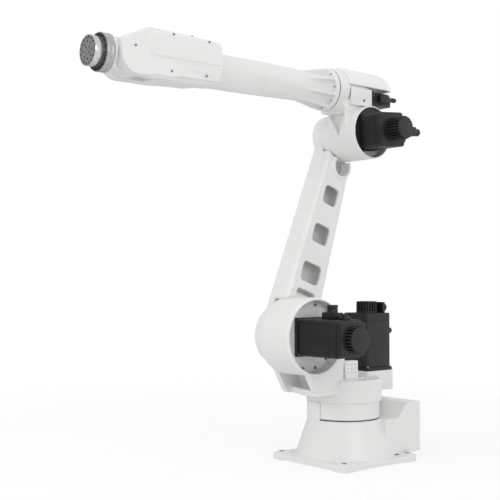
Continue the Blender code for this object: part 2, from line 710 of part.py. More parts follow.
def wrist_side_cover(direction):
    """Side lid of the wrist housing: leaning skirt, flat cheek end and raised panel."""
    z = FOREARM_Z
    inner = HOUSING_HALF_WIDTH + GAP
    sections = []
    for x, top, bend, bend_half, low, low_half in COVER_SECTIONS:
        profile = [(inner, z + top), (inner, z + TAPER_TOP), (bend_half, z + bend), (low_half, z + low)]
        outer = [(y + COVER_THICK, height) for y, height in reversed(profile)]
        sections.append(([(direction * y, height) for y, height in profile + outer], x))
    cover = loft("X", sections, warped=True)
    cheek = arc(WRIST_X, z, CHEEK_RADIUS - 0.5, -90, 84, 14) + [(874, z + 78), (806, z + 78), (806, z - 56)]
    cheek += [(852, z - 56), (868, z - 61)]
    low, high = sorted((direction * (inner + 0.7), direction * (inner + COVER_THICK + 0.5)))
    join(cover, prism("Y", cheek, low, high))
    # raised panel over the belts
    panel = [(HOUSING_REAR_X + 8, z - 1), (858, z - 1), (868, z + 10), (874, z + 40), (868, z + 62),
             (852, z + 75), (HOUSING_REAR_X + 8, z + 73)]
    low, high = sorted((direction * (inner + 1.5), direction * (inner + COVER_THICK + 4)))
    join(cover, prism("Y", panel, low, high))
    return cover


def belt_radius(teeth):
    return teeth * BELT_PITCH / (2 * math.pi)


def belt_pulley(centre_x, teeth, low, high, bore):
    """Toothed pulley on a Y axis."""
    outline = []
    for index in range(teeth):
        for share, depth in ((0.1, 0.0), (0.6, 1.6)):
            angle = 2 * math.pi * (index + share) / teeth
            reach = belt_radius(teeth) - depth
            outline.append((centre_x + reach * math.cos(angle), FOREARM_Z + reach * math.sin(angle)))
    wheel = prism("Y", outline, low, high)
    if bore:
        cut(wheel, disc("Y", centre_x, FOREARM_Z, bore, low - 5, high + 5, 16))
    return wheel


def wrist_shaft_pulley(direction):
    """Driven belt pulley with its shaft through the fork cheek."""
    low, high = sorted((direction * BELT_LOW_Y, direction * BELT_HIGH_Y))
    wheel = belt_pulley(WRIST_X, DRIVEN_TEETH, low, high, 0)
    low, high = sorted((direction * 12, direction * (BELT_LOW_Y + 2)))
    join(wheel, disc("Y", WRIST_X, FOREARM_Z, 14.6, low, high, 20))
    return wheel


def wrist_belt(direction):
    """Flat closed belt around the two pulleys, as a thin loop."""
    def loop(extra):
        span = WRIST_X - DRIVE_X
        start_radius = belt_radius(DRIVE_TEETH) + extra
        stop_radius = belt_radius(DRIVEN_TEETH) + extra
        tilt = math.degrees(math.asin((stop_radius - start_radius) / span))
        points = arc(WRIST_X, FOREARM_Z, stop_radius, -90 - tilt, 90 + tilt, 12)
        points += arc(DRIVE_X, FOREARM_Z, start_radius, 90 + tilt, 270 - tilt, 10)
        return points
    low, high = sorted((direction * (BELT_LOW_Y + 1), direction * (BELT_HIGH_Y - 1)))
    band = prism("Y", loop(2.6), low, high)
    cut(band, prism("Y", loop(0.6), low - 5, high + 5))
    return band


def wrist_motor(direction):
    """Servo across the housing with its shaft inside the drive pulley."""
    z = FOREARM_Z
    low, high = sorted((direction * 2, direction * 38))
    body = prism("Y", round_rectangle(DRIVE_X, z, 76, 76, 8, 2), low, high)
    low, high = sorted((direction * 37, direction * 44))
    join(body, disc("Y", DRIVE_X, z, 26, low, high, 20))
    low, high = sorted((direction * 43, direction * 57))
    join(body, disc("Y", DRIVE_X, z, 6.5, low, high, 12))
    return body


# ---------------------------------------------------------------------------
# Wrist unit on J5 and tool flange on J6
# ---------------------------------------------------------------------------
def tilt_housing():
    z = FOREARM_Z
    half = CHEEK_INNER_Y - 0.6
    hub = disc("Y", WRIST_X, z, 60, -half, half, 40)
    neck = [(WRIST_X, z + 50), (WRIST_X, z - 50), (978, z - 46), (978, z + 46)]
    join(hub, prism("Y", neck, -half, half))
    join(hub, turned_solid("X", 0, z, ((42, 969), (59, 976), (59, 979)), 36))
    cut(hub, disc("Y", WRIST_X, z, 15, -40, 40, 20))
    cut(hub, disc("X", 0, z, 30, 930, 990, 24))
    return hub


def drill_ring(solid, pitch_radius, count, hole_radius, low, high, start=0.0):
    for index in range(count):
        angle = math.radians(start + 360.0 * index / count)
        centre_y = pitch_radius * math.cos(angle)
        centre_z = FOREARM_Z + pitch_radius * math.sin(angle)
        cut(solid, disc("X", centre_y, centre_z, hole_radius, low, high, 6))
    return solid


def tool_reducer():
    ring = turned_solid("X", 0, FOREARM_Z, ((57.5, 979 + GAP), (57.5, 1005), (56, 1007)), 40)
    drill_ring(ring, 51, 8, 2.6, 1001, 1010, 22.5)
    return ring


def tool_flange():
    flange = turned_solid("X", 0, FOREARM_Z,
                          ((40, 1007 + GAP), (43, 1009), (43, 1019), (TOOL_RADIUS, 1020),
                           (TOOL_RADIUS, TOOL_FACE_X)), 40)
    drill_ring(flange, 38, 12, 2.8, 1030, 1045, 15)
    drill_ring(flange, 24, 6, 2.8, 1030, 1045)
    return flange


def build():
    clear_scene()
    paint = make_materials()
    base = add_axis("base_frame", (0, 0, 0))
    turret = add_axis("j1_axis", (0, 0, 0), base)
    arm = add_axis("j2_axis", (SHOULDER_X, 0, SHOULDER_Z), turret)
    elbow = add_axis("j3_axis", (ELBOW_X, 0, ELBOW_Z), arm)
    forearm = add_axis("j4_axis", (0, 0, FOREARM_Z), elbow)
    wrist = add_axis("j5_axis", (WRIST_X, 0, FOREARM_Z), forearm)
    tool = add_axis("j6_axis", (TOOL_FACE_X, 0, FOREARM_Z), wrist)
    build_base(paint, base)
    build_turret(paint, turret)
    build_arm(paint, arm)
    build_elbow(paint, elbow)
    build_forearm(paint, forearm)
    build_wrist_drives(paint, forearm, wrist)
    finish(tilt_housing(), "tilt_housing", wrist, paint["paint"])
    finish(tool_reducer(), "j6_reducer", wrist, paint["steel"])
    finish(tool_flange(), "tool_flange", tool, paint["steel"])


def build_base(paint, base):
    finish(base_casting(), "base_casting", base, paint["paint"])
    finish(base_rear_panel(), "base_rear_panel", base, paint["alloy"])
    power = round_socket("X", 55, 118, BOX_REAR_X - 9, -1, 22, 30)
    finish(power, "power_inlet", base, paint["socket"])
    signal = round_socket("X", -55, 118, BOX_REAR_X - 9, -1, 18, 26)
    finish(signal, "encoder_inlet", base, paint["socket"])
    air = round_socket("X", 0, 60, BOX_REAR_X - 5, -1, 9, 22)
    finish(air, "air_inlet", base, paint["brass"])
    finish(base_stop_block(), "j1_stop_block", base, paint["paint"])
    finish(base_reducer_case(), "j1_reducer_case", base, paint["dark_steel"])
    finish(cable_sleeve(), "cable_sleeve", base, paint["alloy"])


def build_turret(paint, turret):
    finish(turret_casting(), "turret_casting", turret, paint["paint"])
    finish(turret_output_plate(), "j1_output_plate", turret, paint["steel"])
    finish(turret_stop_striker(), "j1_stop_striker", turret, paint["paint"])
    finish(turret_cover(), "turret_lid", turret, paint["cover"])
    finish(cable_clamp_block(), "cable_clamp_block", turret, paint["cover"])
    finish(base_motor_bracket(), "j1_motor_bracket", turret, paint["paint"])

    motor = servo_body("Z", -153, -34, BIG_MOTOR, 306, 512, 11)
    finish(motor, "j1_motor", turret, paint["motor"])
    finish(finned_cap("Z", -153, -34, 512, 554), "j1_motor_cap", turret, paint["motor"])
    plug = round_socket("X", 4, 447, -214.5, -1, 12, 20)
    finish(plug, "j1_motor_power_socket", turret, paint["socket"])
    plug = square_socket((-204, -22, 512 + GAP), (-192.4, 8, 551), "X", 14, -11)
    finish(plug, "j1_motor_signal_socket", turret, paint["socket"])

    motor = servo_body("Y", SHOULDER_X, SHOULDER_Z, BIG_MOTOR, 38, 225, 12)
    join(motor, prism("Y", round_rectangle(SHOULDER_X, SHOULDER_Z, 112, 112, 14, 2), 224, 248))
    finish(motor, "j2_motor", turret, paint["motor"])
    cap = finned_cap("Y", SHOULDER_X, SHOULDER_Z, 248, 280, SHOULDER_CAP_RADIUS)
    finish(cap, "j2_motor_cap", turret, paint["motor"])
    plug = square_socket((185, 122, 503.8), (225, 182, 526), "Z", 18, 25)
    finish(plug, "j2_motor_power_socket", turret, paint["socket"])
    plug = square_socket((190, 194, 503.8), (220, 222, 514), "Z", 10, 9)
    finish(plug, "j2_motor_signal_socket", turret, paint["socket"])
    plate = ring_plate("Y", SHOULDER_X, SHOULDER_Z, BARREL_INNER_RADIUS - 0.8, 56, 20, 37.7)
    finish(plate, "j2_motor_plate", turret, paint["paint"])
    unit = reducer_unit("Y", SHOULDER_X, SHOULDER_Z, 91.7, 20, -85.7, 19.7)
    finish(unit, "j2_reducer", turret, paint["dark_steel"])


def build_arm(paint, arm):
    finish(lower_arm_casting(), "lower_arm_casting", arm, paint["paint"])
    plate = disc("Y", SHOULDER_X, SHOULDER_Z, 39.7, -94.7, -86.0, 24)
    finish(plate, "j2_output_hub", arm, paint["steel"])
    finish(round_cover(SHOULDER_X, SHOULDER_Z, 83.6, -130, -95.3), "shoulder_cover", arm, paint["cover"])
    finish(round_cover(ELBOW_X, ELBOW_Z, 61.6, -124, -100.3), "elbow_cover", arm, paint["cover"])
    unit = reducer_unit("Y", ELBOW_X, ELBOW_Z, 39.6, 12, -99.7, -42)
    finish(unit, "j3_reducer", arm, paint["dark_steel"])


def build_elbow(paint, elbow):
    finish(elbow_casting(), "elbow_casting", elbow, paint["paint"])
    motor = servo_body("Y", ELBOW_X, ELBOW_Z, ELBOW_MOTOR, 24, 193, 11, -ELBOW_MOTOR_TILT)
    finish(motor, "j3_motor", elbow, paint["motor"])
    cap = finned_cap("Y", ELBOW_X, ELBOW_Z, 193, 256, ELBOW_CAP_RADIUS)
    finish(cap, "j3_motor_cap", elbow, paint["motor"])
    plug = square_socket((-106, 214, 1126), (-70, 246, 1156), "X", 13, -24)
    cut(plug, disc("Y", ELBOW_X, ELBOW_Z, ELBOW_CAP_RADIUS + GAP, 200, 260, 48))
    finish(plug, "j3_motor_power_socket", elbow, paint["socket"])
    plug = square_socket((-112, 166, 1110), (-102.2, 190, 1134), "X", 8, -9)
    finish(plug, "j3_motor_signal_socket", elbow, paint["socket"])
    finish(elbow_rear_cover(), "elbow_rear_cover", elbow, paint["cover"])
    finish(roll_gear_bracket(), "j4_motor_bracket", elbow, paint["paint"])
    finish(roll_motor(), "j4_motor", elbow, paint["motor"])
    plug = square_socket((-160, 57 + GAP, 1270), (-116, 75, 1294), "X", 8.5, -36)
    finish(plug, "j4_motor_socket", elbow, paint["socket"])
    unit = reducer_unit("X", 0, FOREARM_Z, 57.6, 30, -59.6, ROLL_FACE_X)
    finish(unit, "j4_reducer", elbow, paint["dark_steel"])


def build_forearm(paint, forearm):
    finish(forearm_flare(), "forearm_flare", forearm, paint["paint"])
    finish(forearm_tube(), "forearm_tube", forearm, paint["paint"])
    finish(wrist_casting(), "wrist_casting", forearm, paint["paint"])
    finish(wrist_side_cover(1), "wrist_cover_near", forearm, paint["cover"])
    finish(wrist_side_cover(-1), "wrist_cover_far", forearm, paint["cover"])


def build_wrist_drives(paint, forearm, wrist):
    """J5 drive on the near side of the housing, J6 drive on the far side."""
    drive_axis = add_axis("wrist_drive_axis", (DRIVE_X, 0, FOREARM_Z), forearm)
    cross_axis = add_axis("tool_cross_axis", (WRIST_X, 0, FOREARM_Z), forearm)
    for joint, direction, shaft_axis in (("j5", 1, wrist), ("j6", -1, cross_axis)):
        finish(wrist_motor(direction), joint + "_motor", forearm, paint["motor"])
        low, high = sorted((direction * BELT_LOW_Y, direction * BELT_HIGH_Y))
        wheel = belt_pulley(DRIVE_X, DRIVE_TEETH, low, high, 7)
        finish(wheel, joint + "_drive_pulley", drive_axis, paint["alloy"])
        finish(wrist_shaft_pulley(direction), joint + "_shaft_pulley", shaft_axis, paint["alloy"])
        finish(wrist_belt(direction), joint + "_belt", forearm, paint["rubber"])


build()
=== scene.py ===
"""Six-axis industrial robot arm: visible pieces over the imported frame, with studio light and camera.

Outlines are in millimetres and become metres as meshes are made.
"""
import json
import math

import bmesh
import bpy
from mathutils import Matrix, Vector


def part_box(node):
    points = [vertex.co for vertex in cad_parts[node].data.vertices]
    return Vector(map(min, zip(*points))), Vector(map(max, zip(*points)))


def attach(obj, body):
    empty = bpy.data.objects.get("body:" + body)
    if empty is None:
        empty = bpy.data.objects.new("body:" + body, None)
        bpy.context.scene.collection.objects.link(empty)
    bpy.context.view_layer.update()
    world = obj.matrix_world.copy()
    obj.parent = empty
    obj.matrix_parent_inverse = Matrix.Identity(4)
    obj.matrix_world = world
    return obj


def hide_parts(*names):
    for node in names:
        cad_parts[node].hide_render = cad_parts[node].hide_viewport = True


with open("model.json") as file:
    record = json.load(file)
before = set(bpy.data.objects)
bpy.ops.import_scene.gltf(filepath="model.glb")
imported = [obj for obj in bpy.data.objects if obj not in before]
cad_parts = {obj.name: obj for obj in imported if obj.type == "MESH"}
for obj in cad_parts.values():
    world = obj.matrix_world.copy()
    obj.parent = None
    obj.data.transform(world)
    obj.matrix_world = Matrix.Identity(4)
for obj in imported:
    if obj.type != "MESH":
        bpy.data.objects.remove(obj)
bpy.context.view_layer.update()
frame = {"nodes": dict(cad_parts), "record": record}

MM = 0.001
GAP = 0.3  # clearance kept between neighbouring pieces

# Joint axes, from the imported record
AXIS = {joint["name"]: [value / MM for value in joint["pos_m"]]
        for joint in frame["record"]["behaviour"]["joints"]}
SHOULDER_X, _, SHOULDER_Z = AXIS["j2_shoulder"]
ELBOW_X, _, ELBOW_Z = AXIS["j3_elbow"]
WRIST_X, _, FOREARM_Z = AXIS["j5_tilt"]
TOOL_FACE_X = AXIS["j6_tool"][0]
SHOULDER, ELBOW, WRIST = (SHOULDER_X, SHOULDER_Z), (ELBOW_X, ELBOW_Z), (WRIST_X, FOREARM_Z)
ROLL = (0, FOREARM_Z)
ARM_LEAN = math.atan2(SHOULDER_X - ELBOW_X, ELBOW_Z - SHOULDER_Z)
ARM_LENGTH = math.hypot(SHOULDER_X - ELBOW_X, ELBOW_Z - SHOULDER_Z)


def node_box(node):
    """Lowest and highest corner of a CAD node, in millimetres."""
    low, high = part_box(node)
    return [value / MM for value in low], [value / MM for value in high]


# --- Outlines and solids ---
def arc(centre_u, centre_v, radius, start, stop, steps):
    """Points along an arc, from one angle in degrees to another."""
    points = []
    for step in range(steps + 1):
        angle = math.radians(start + (stop - start) * step / steps)
        points.append((centre_u + radius * math.cos(angle), centre_v + radius * math.sin(angle)))
    return points


def round_rectangle(centre_u, centre_v, width, height, radius, steps=6):
    half_u = width / 2 - radius
    half_v = height / 2 - radius
    points = []
    for sign_u, sign_v, start in ((1, 1, 0), (-1, 1, 90), (-1, -1, 180), (1, -1, 270)):
        corner_u, corner_v = centre_u + sign_u * half_u, centre_v + sign_v * half_v
        points += arc(corner_u, corner_v, radius, start, start + 90, steps)
    return points


def turned(points, centre_u, centre_v, angle):
    """An outline turned about a centre, by an angle in radians."""
    cosine, sine = math.cos(angle), math.sin(angle)
    result = []
    for u, v in points:
        du, dv = u - centre_u, v - centre_v
        result.append((centre_u + du * cosine - dv * sine, centre_v + du * sine + dv * cosine))
    return result


def place(axis, u, v, w):
    """Point from an outline's u, v and its place w along the axis."""
    if axis == "X":
        return Vector((w, u, v)) * MM
    if axis == "Y":
        return Vector((u, w, v)) * MM
    return Vector((u, v, w)) * MM


def link_solid(bm, name="solid"):
    """Makes a linked object of a bmesh, its faces looking outward."""
    bmesh.ops.recalc_face_normals(bm, faces=bm.faces)
    mesh = bpy.data.meshes.new(name)
    bm.to_mesh(mesh)
    bm.free()
    solid = bpy.data.objects.new(name, mesh)
    bpy.context.collection.objects.link(solid)
    return solid


def add_loft(bm, axis, sections):
    """Adds a closed tube of sections, each (outline, w), to a bmesh."""
    loops = [[bm.verts.new(place(axis, u, v, w)) for u, v in outline] for outline, w in sections]
    count = len(loops[0])
    for lower, upper in zip(loops, loops[1:]):
        for index in range(count):
            following = (index + 1) % count
            bm.faces.new((lower[index], lower[following], upper[following], upper[index]))
    bm.faces.new(loops[0])
    bm.faces.new(loops[-1])


def loft(axis, sections, warped=False):
    """Closed solid through its sections; warped ones are split into triangles."""
    bm = bmesh.new()
    add_loft(bm, axis, sections)
    if warped:
        bmesh.ops.triangulate(bm, faces=bm.faces)
    return link_solid(bm)


def prism(axis, outline, low, high):
    return loft(axis, ((outline, low), (outline, high)))


def block(low, high):
    outline = ((low[0], low[1]), (high[0], low[1]), (high[0], high[1]), (low[0], high[1]))
    return prism("Z", outline, low[2], high[2])


def ring_outline(centre_u, centre_v, radius, steps):
    return arc(centre_u, centre_v, radius, 0, 360 - 360.0 / steps, steps - 1)


def disc(axis, centre_u, centre_v, radius, low, high, steps=96):
    outline = ring_outline(centre_u, centre_v, radius, steps)
    return prism(axis, outline, low, high)


def lathe(axis, centre_u, centre_v, profile, steps=96):
    """Solid of revolution from (radius, w) sections, ends closed flat."""
    return loft(axis, [(ring_outline(centre_u, centre_v, radius, steps), w) for radius, w in profile])


def combine(solid, tool, operation):
    modifier = solid.modifiers.new("combine", "BOOLEAN")
    modifier.operation = operation
    modifier.solver = "EXACT"
    modifier.object = tool
    bake_modifiers(solid)
    bpy.data.objects.remove(tool)
    return solid


def bake_modifiers(solid):
    graph = bpy.context.evaluated_depsgraph_get()
    mesh = bpy.data.meshes.new_from_object(solid.evaluated_get(graph))
    solid.modifiers.clear()
    old_mesh = solid.data
    solid.data = mesh
    bpy.data.meshes.remove(old_mesh)
    return solid


def join(solid, *tools):
    for tool in tools:
        combine(solid, tool, "UNION")
    return solid


def cut(solid, *tools):
    for tool in tools:
        combine(solid, tool, "DIFFERENCE")
    return solid


def gather(solid, *others):
    """Puts overlapping closed solids in one mesh, for a skin to be drawn round them all."""
    bm = bmesh.new()
    for item in (solid, *others):
        bm.from_mesh(item.data)
        if item is not solid:
            bpy.data.objects.remove(item)
    bm.to_mesh(solid.data)
    bm.free()
    return solid


def keep(solid, tool):
    return combine(solid, tool, "INTERSECT")


# --- Materials ---
def start_material(name, colour, roughness, metallic=0.0):
    material = bpy.data.materials.new(name)
    material.use_nodes = True
    tree = material.node_tree
    shader = tree.nodes["Principled BSDF"]
    shader.inputs["Base Color"].default_value = (*colour, 1.0)
    shader.inputs["Roughness"].default_value = roughness
    shader.inputs["Metallic"].default_value = metallic
    coords = tree.nodes.new("ShaderNodeTexCoord").outputs["Object"]
    return material, tree, shader, coords


def noise(tree, coords, scale, detail=3.0, stretch=None):
    """Noise in object coordinates, drawn out along an axis when stretched."""
    if stretch is not None:
        mapping = tree.nodes.new("ShaderNodeMapping")
        mapping.inputs["Scale"].default_value = stretch
        tree.links.new(coords, mapping.inputs["Vector"])
        coords = mapping.outputs["Vector"]
    texture = tree.nodes.new("ShaderNodeTexNoise")
    texture.inputs["Scale"].default_value = scale
    texture.inputs["Detail"].default_value = detail
    tree.links.new(coords, texture.inputs["Vector"])
    return texture.outputs["Fac"]


def tint(tree, shader, factor, low, high):
    """Colours a shader from low to high over the middle of a factor's range."""
    node = tree.nodes.new("ShaderNodeValToRGB")
    for element, position, colour in zip(node.color_ramp.elements, (0.3, 0.7), (low, high)):
        element.position = position
        element.color = (*colour, 1.0)
    tree.links.new(factor, node.inputs["Fac"])
    tree.links.new(node.outputs["Color"], shader.inputs["Base Color"])


def span(tree, factor, low, high, start=0.0, stop=1.0, kind="LINEAR"):
    """A value from low to high, as a factor goes from start to stop."""
    node = tree.nodes.new("ShaderNodeMapRange")
    node.interpolation_type = kind
    for name, value in (("From Min", start), ("From Max", stop), ("To Min", low), ("To Max", high)):
        node.inputs[name].default_value = value
    tree.links.new(factor, node.inputs["Value"])
    return node.outputs["Result"]


def roughen(tree, shader, factor, low, high):
    tree.links.new(span(tree, factor, low, high), shader.inputs["Roughness"])


def add_bump(tree, shader, height, strength, distance, below=None):
    node = tree.nodes.new("ShaderNodeBump")
    node.inputs["Strength"].default_value = strength
    node.inputs["Distance"].default_value = distance
    tree.links.new(height, node.inputs["Height"])
    if below is not None:
        tree.links.new(below, node.inputs["Normal"])
    tree.links.new(node.outputs["Normal"], shader.inputs["Normal"])
    return node.outputs["Normal"]


def paint_material(name, low, high, roughness, grain):
    """Sprayed enamel: faint mottling, orange peel and the casting's grain under it."""
    material, tree, shader, coords = start_material(name, high, roughness)
    tint(tree, shader, noise(tree, coords, 6.0, 5.0), low, high)
    roughen(tree, shader, noise(tree, coords, 40.0, 4.0), roughness - 0.05, roughness + 0.07)
    below = add_bump(tree, shader, noise(tree, coords, 160.0, 3.0), grain, 0.0004)
    add_bump(tree, shader, noise(tree, coords, 900.0, 1.0), 0.05, 0.0001, below)
    shader.inputs["Coat Weight"].default_value = 0.15
    shader.inputs["Coat Roughness"].default_value = 0.3
    return material


def coated_material(name, low, high, roughness):
    """Fine black powder coat with a sparkle of roughness."""
    material, tree, shader, coords = start_material(name, high, roughness)
    tint(tree, shader, noise(tree, coords, 25.0, 6.0), low, high)
    roughen(tree, shader, noise(tree, coords, 500.0, 2.0), roughness - 0.08, roughness + 0.1)
    add_bump(tree, shader, noise(tree, coords, 1400.0, 2.0), 0.25, 0.0001)
    return material


def metal_material(name, low, high, roughness, stretch):
    """Bare metal with tool marks drawn out along one direction."""
    material, tree, shader, coords = start_material(name, high, roughness, 1.0)
    marks = noise(tree, coords, 60.0, 6.0, stretch)
    tint(tree, shader, marks, low, high)
    roughen(tree, shader, marks, roughness - 0.08, roughness + 0.12)
    add_bump(tree, shader, marks, 0.12, 0.0001)
    return material


def turned_material(name, low, high, roughness, height):
    """Metal faced on a lathe about an X axis at a height: fine rings round it."""
    material, tree, shader, coords = start_material(name, high, roughness, 1.0)
    mapping = tree.nodes.new("ShaderNodeMapping")
    mapping.inputs["Location"].default_value = (0.0, 0.0, -height)
    tree.links.new(coords, mapping.inputs["Vector"])
    rings = tree.nodes.new("ShaderNodeTexWave")
    rings.wave_type = "RINGS"
    rings.rings_direction = "X"
    rings.inputs["Scale"].default_value = 260.0
    rings.inputs["Distortion"].default_value = 1.5
    rings.inputs["Detail"].default_value = 3.0
    tree.links.new(mapping.outputs["Vector"], rings.inputs["Vector"])
    cloud = noise(tree, coords, 90.0, 4.0)
    tint(tree, shader, cloud, low, high)
    roughen(tree, shader, cloud, roughness - 0.06, roughness + 0.12)
    add_bump(tree, shader, rings.outputs["Fac"], 0.1, 0.0001)
    return material


def rubber_material(name, low, high):
    material, tree, shader, coords = start_material(name, high, 0.8)
    tint(tree, shader, noise(tree, coords, 80.0, 4.0), low, high)
    add_bump(tree, shader, noise(tree, coords, 700.0, 2.0), 0.3, 0.0002)
    return material


PAINT = paint_material("cast_paint", (0.81, 0.81, 0.80), (0.85, 0.85, 0.84), 0.42, 0.10)
COVER = paint_material("cover_paint", (0.86, 0.86, 0.85), (0.89, 0.89, 0.88), 0.36, 0.04)
MOTOR = coated_material("motor_coat", (0.009, 0.009, 0.009), (0.017, 0.017, 0.017), 0.48)
SOCKET = coated_material("socket_plastic", (0.008, 0.008, 0.008), (0.016, 0.016, 0.016), 0.42)
STEEL = turned_material("turned_steel", (0.62, 0.62, 0.61), (0.80, 0.80, 0.79), 0.30, FOREARM_Z * MM)
RING = turned_material("ring_steel", (0.46, 0.46, 0.455), (0.60, 0.60, 0.59), 0.28, FOREARM_Z * MM)
SCREW = metal_material("screw_steel", (0.22, 0.22, 0.22), (0.38, 0.38, 0.38), 0.38, (1.0, 1.0, 1.0))
DARK = metal_material("dark_steel", (0.10, 0.10, 0.10), (0.20, 0.20, 0.21), 0.42, (1.0, 1.0, 6.0))
ALLOY = metal_material("bare_alloy", (0.52, 0.53, 0.54), (0.68, 0.69, 0.70), 0.36, (8.0, 1.0, 1.0))
BRASS = metal_material("brass_metal", (0.50, 0.36, 0.15), (0.70, 0.52, 0.24), 0.30, (1.0, 1.0, 4.0))
RUBBER = rubber_material("belt_rubber", (0.02, 0.02, 0.02), (0.045, 0.045, 0.045))


# --- Finishing pieces ---
def settle(piece, name, body, material, nodes=()):
    """Names and coats a piece, sets it on its body and hides the nodes it stands for."""
    piece.name = name
    piece.data.name = name
    piece.data.materials.clear()
    piece.data.materials.append(material)
    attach(piece, body)
    if nodes:
        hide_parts(*nodes)
    return piece


def cast(solid, name, body, voxel, nodes, material=PAINT, rounds=5):
    """Rounds a solid like a casting: an even skin, then its edges eased."""
    remesh = solid.modifiers.new("skin", "REMESH")
    remesh.mode = "VOXEL"
    remesh.voxel_size = voxel * MM
    ease = solid.modifiers.new("ease", "SMOOTH")
    ease.factor = 0.5
    ease.iterations = rounds
    bake_modifiers(solid)
    solid.data.shade_smooth()
    return settle(solid, name, body, material, nodes)


def crisp(solid, name, body, nodes, material, width=0.8, segments=2):
    """Sharp machined or moulded piece with small rounded edges."""
    bevel = solid.modifiers.new("edges", "BEVEL")
    bevel.width = width * MM
    bevel.segments = segments
    bevel.limit_method = "ANGLE"
    bevel.angle_limit = math.radians(32)
    bevel.use_clamp_overlap = True
    bake_modifiers(solid)
    solid.data.shade_smooth()
    solid.data.set_sharp_from_angle(angle=math.radians(38))
    return settle(solid, name, body, material, nodes)


def hexagon(centre_u, centre_v, across, steps=24):
    """Hexagon outline, half its width across flats, sampled at even angles."""
    points = []
    for step in range(steps):
        angle = 360.0 * step / steps
        reach = across / math.cos(math.radians((angle % 60) - 30))
        points.append((centre_u + reach * math.cos(math.radians(angle)),
                       centre_v + reach * math.sin(math.radians(angle))))
    return points


def add_screw(bm, axis, u, v, seat, direction, radius, height):
    """Socket head screw standing on a seat, with its hexagon recess."""
    head = ring_outline(u, v, radius, 24)
    recess = hexagon(u, v, radius * 0.5)
    top = seat + direction * height
    add_loft(bm, axis, (
        (head, seat - direction * 1.0), (head, top - direction * radius * 0.15),
        (ring_outline(u, v, radius * 0.88, 24), top), (recess, top),
        (recess, top - direction * height * 0.6)))


def small_parts(bm, name, body, material):
    """Small turned parts with sharp rims, as one piece."""
    solid = link_solid(bm)
    solid.data.shade_smooth()
    solid.data.set_sharp_from_angle(angle=math.radians(35))
    return settle(solid, name, body, material)


def screws(name, body, axis, direction, points, radius, height, material=SCREW):
    """One piece of screws at (u, v, seat) points."""
    bm = bmesh.new()
    for u, v, seat in points:
        add_screw(bm, axis, u, v, seat, direction, radius, height)
    return small_parts(bm, name, body, material)


def ring_points(centre_u, centre_v, radius, count, seat, start=0.0):
    """Even (u, v, seat) points on a bolt circle."""
    points = []
    for index in range(count):
        angle = math.radians(start + 360.0 * index / count)
        points.append((centre_u + radius * math.cos(angle), centre_v + radius * math.sin(angle), seat))
    return points


def servo(axis, centre_u, centre_v, side, low, high, flange, tilt=0.0, tail=0.0, slim=7):
    """Square servo: flange plate, body with shadow grooves and a smaller rear housing."""
    def section(width, radius, w):
        outline = round_rectangle(centre_u, centre_v, width, width, radius, 4)
        return (turned(outline, centre_u, centre_v, tilt), w)
    body = side - slim
    sections = [section(side, 5, low), section(side, 5, low + flange)]
    sections += [section(body - 3, 10, low + flange + 0.01), section(body - 3, 10, low + flange + 2.5)]
    sections += [section(body, 12, low + flange + 2.51)]
    groove = low + (high - low) * 0.86
    sections += [section(body, 12, groove), section(body - 2.4, 11, groove + 0.01),
                 section(body - 2.4, 11, groove + 2.0), section(body, 12, groove + 2.01)]
    sections += [section(body, 12, high - 0.01 if tail else high)]
    if tail:
        sections += [section(body - 11, 14, high), section(body - 11, 14, high + tail)]
    return loft(axis, sections)


def gear_outline(centre_u, centre_v, outer, inner, teeth, share=0.5):
    """Outline of axial cooling fins standing round a core."""
    points = []
    step = 360.0 / teeth
    slope = 0.8
    for index in range(teeth):
        base = index * step
        rise = base + step * (1 - share) * 0.5
        fall = base + step * (1 + share) * 0.5
        for angle, reach in ((base, inner), (rise, inner), (rise + slope, outer),
                             (fall - slope, outer), (fall, inner)):
            turn = math.radians(angle)
            points.append((centre_u + reach * math.cos(turn), centre_v + reach * math.sin(turn)))
    return points


def finned_cap(axis, centre_u, centre_v, low, high, radius=39.0, fins=24):
    """Encoder cap: base ring, fins between, and a plain end disc."""
    depth = high - low
    cap = lathe(axis, centre_u, centre_v, ((radius, low + GAP), (radius, low + depth * 0.16)), 96)
    fin_ring = prism(axis, gear_outline(centre_u, centre_v, radius - 0.6, radius * 0.76, fins),
                     low + depth * 0.1, high - 2.2)
    join(cap, fin_ring)
    join(cap, lathe(axis, centre_u, centre_v, ((radius * 0.91, high - 4), (radius * 0.91, high - 1),
                                               (radius * 0.88, high)), 96))
    return cap


def plug_socket(axis, u, v, face, direction, radius, length):
    """Round connector: seat ring, knurled nut, threaded barrel and open mouth."""
    def along(share):
        return face + direction * (GAP + (length - GAP) * share)

    def ring(share):
        return ring_outline(u, v, radius * share, 96)
    knurl = []
    for index in range(96):
        angle = math.radians(360.0 * index / 96)
        reach = radius * (1.0 if index % 4 < 2 else 0.94)
        knurl.append((u + reach * math.cos(angle), v + reach * math.sin(angle)))
    sections = [(ring(0.98), along(0.0)), (ring(0.98), along(0.10)),
                (knurl, along(0.101)), (knurl, along(0.30)), (ring(0.86), along(0.301))]
    for turn in range(4):
        start = 0.36 + turn * 0.14
        sections += [(ring(0.86), along(start)), (ring(0.80), along(start + 0.03)),
                     (ring(0.80), along(start + 0.05)), (ring(0.86), along(start + 0.08))]
    sections += [(ring(0.86), along(0.97)), (ring(0.82), along(1.0)),
                 (ring(0.64), along(1.0)), (ring(0.62), along(0.50))]
    return loft(axis, sections)


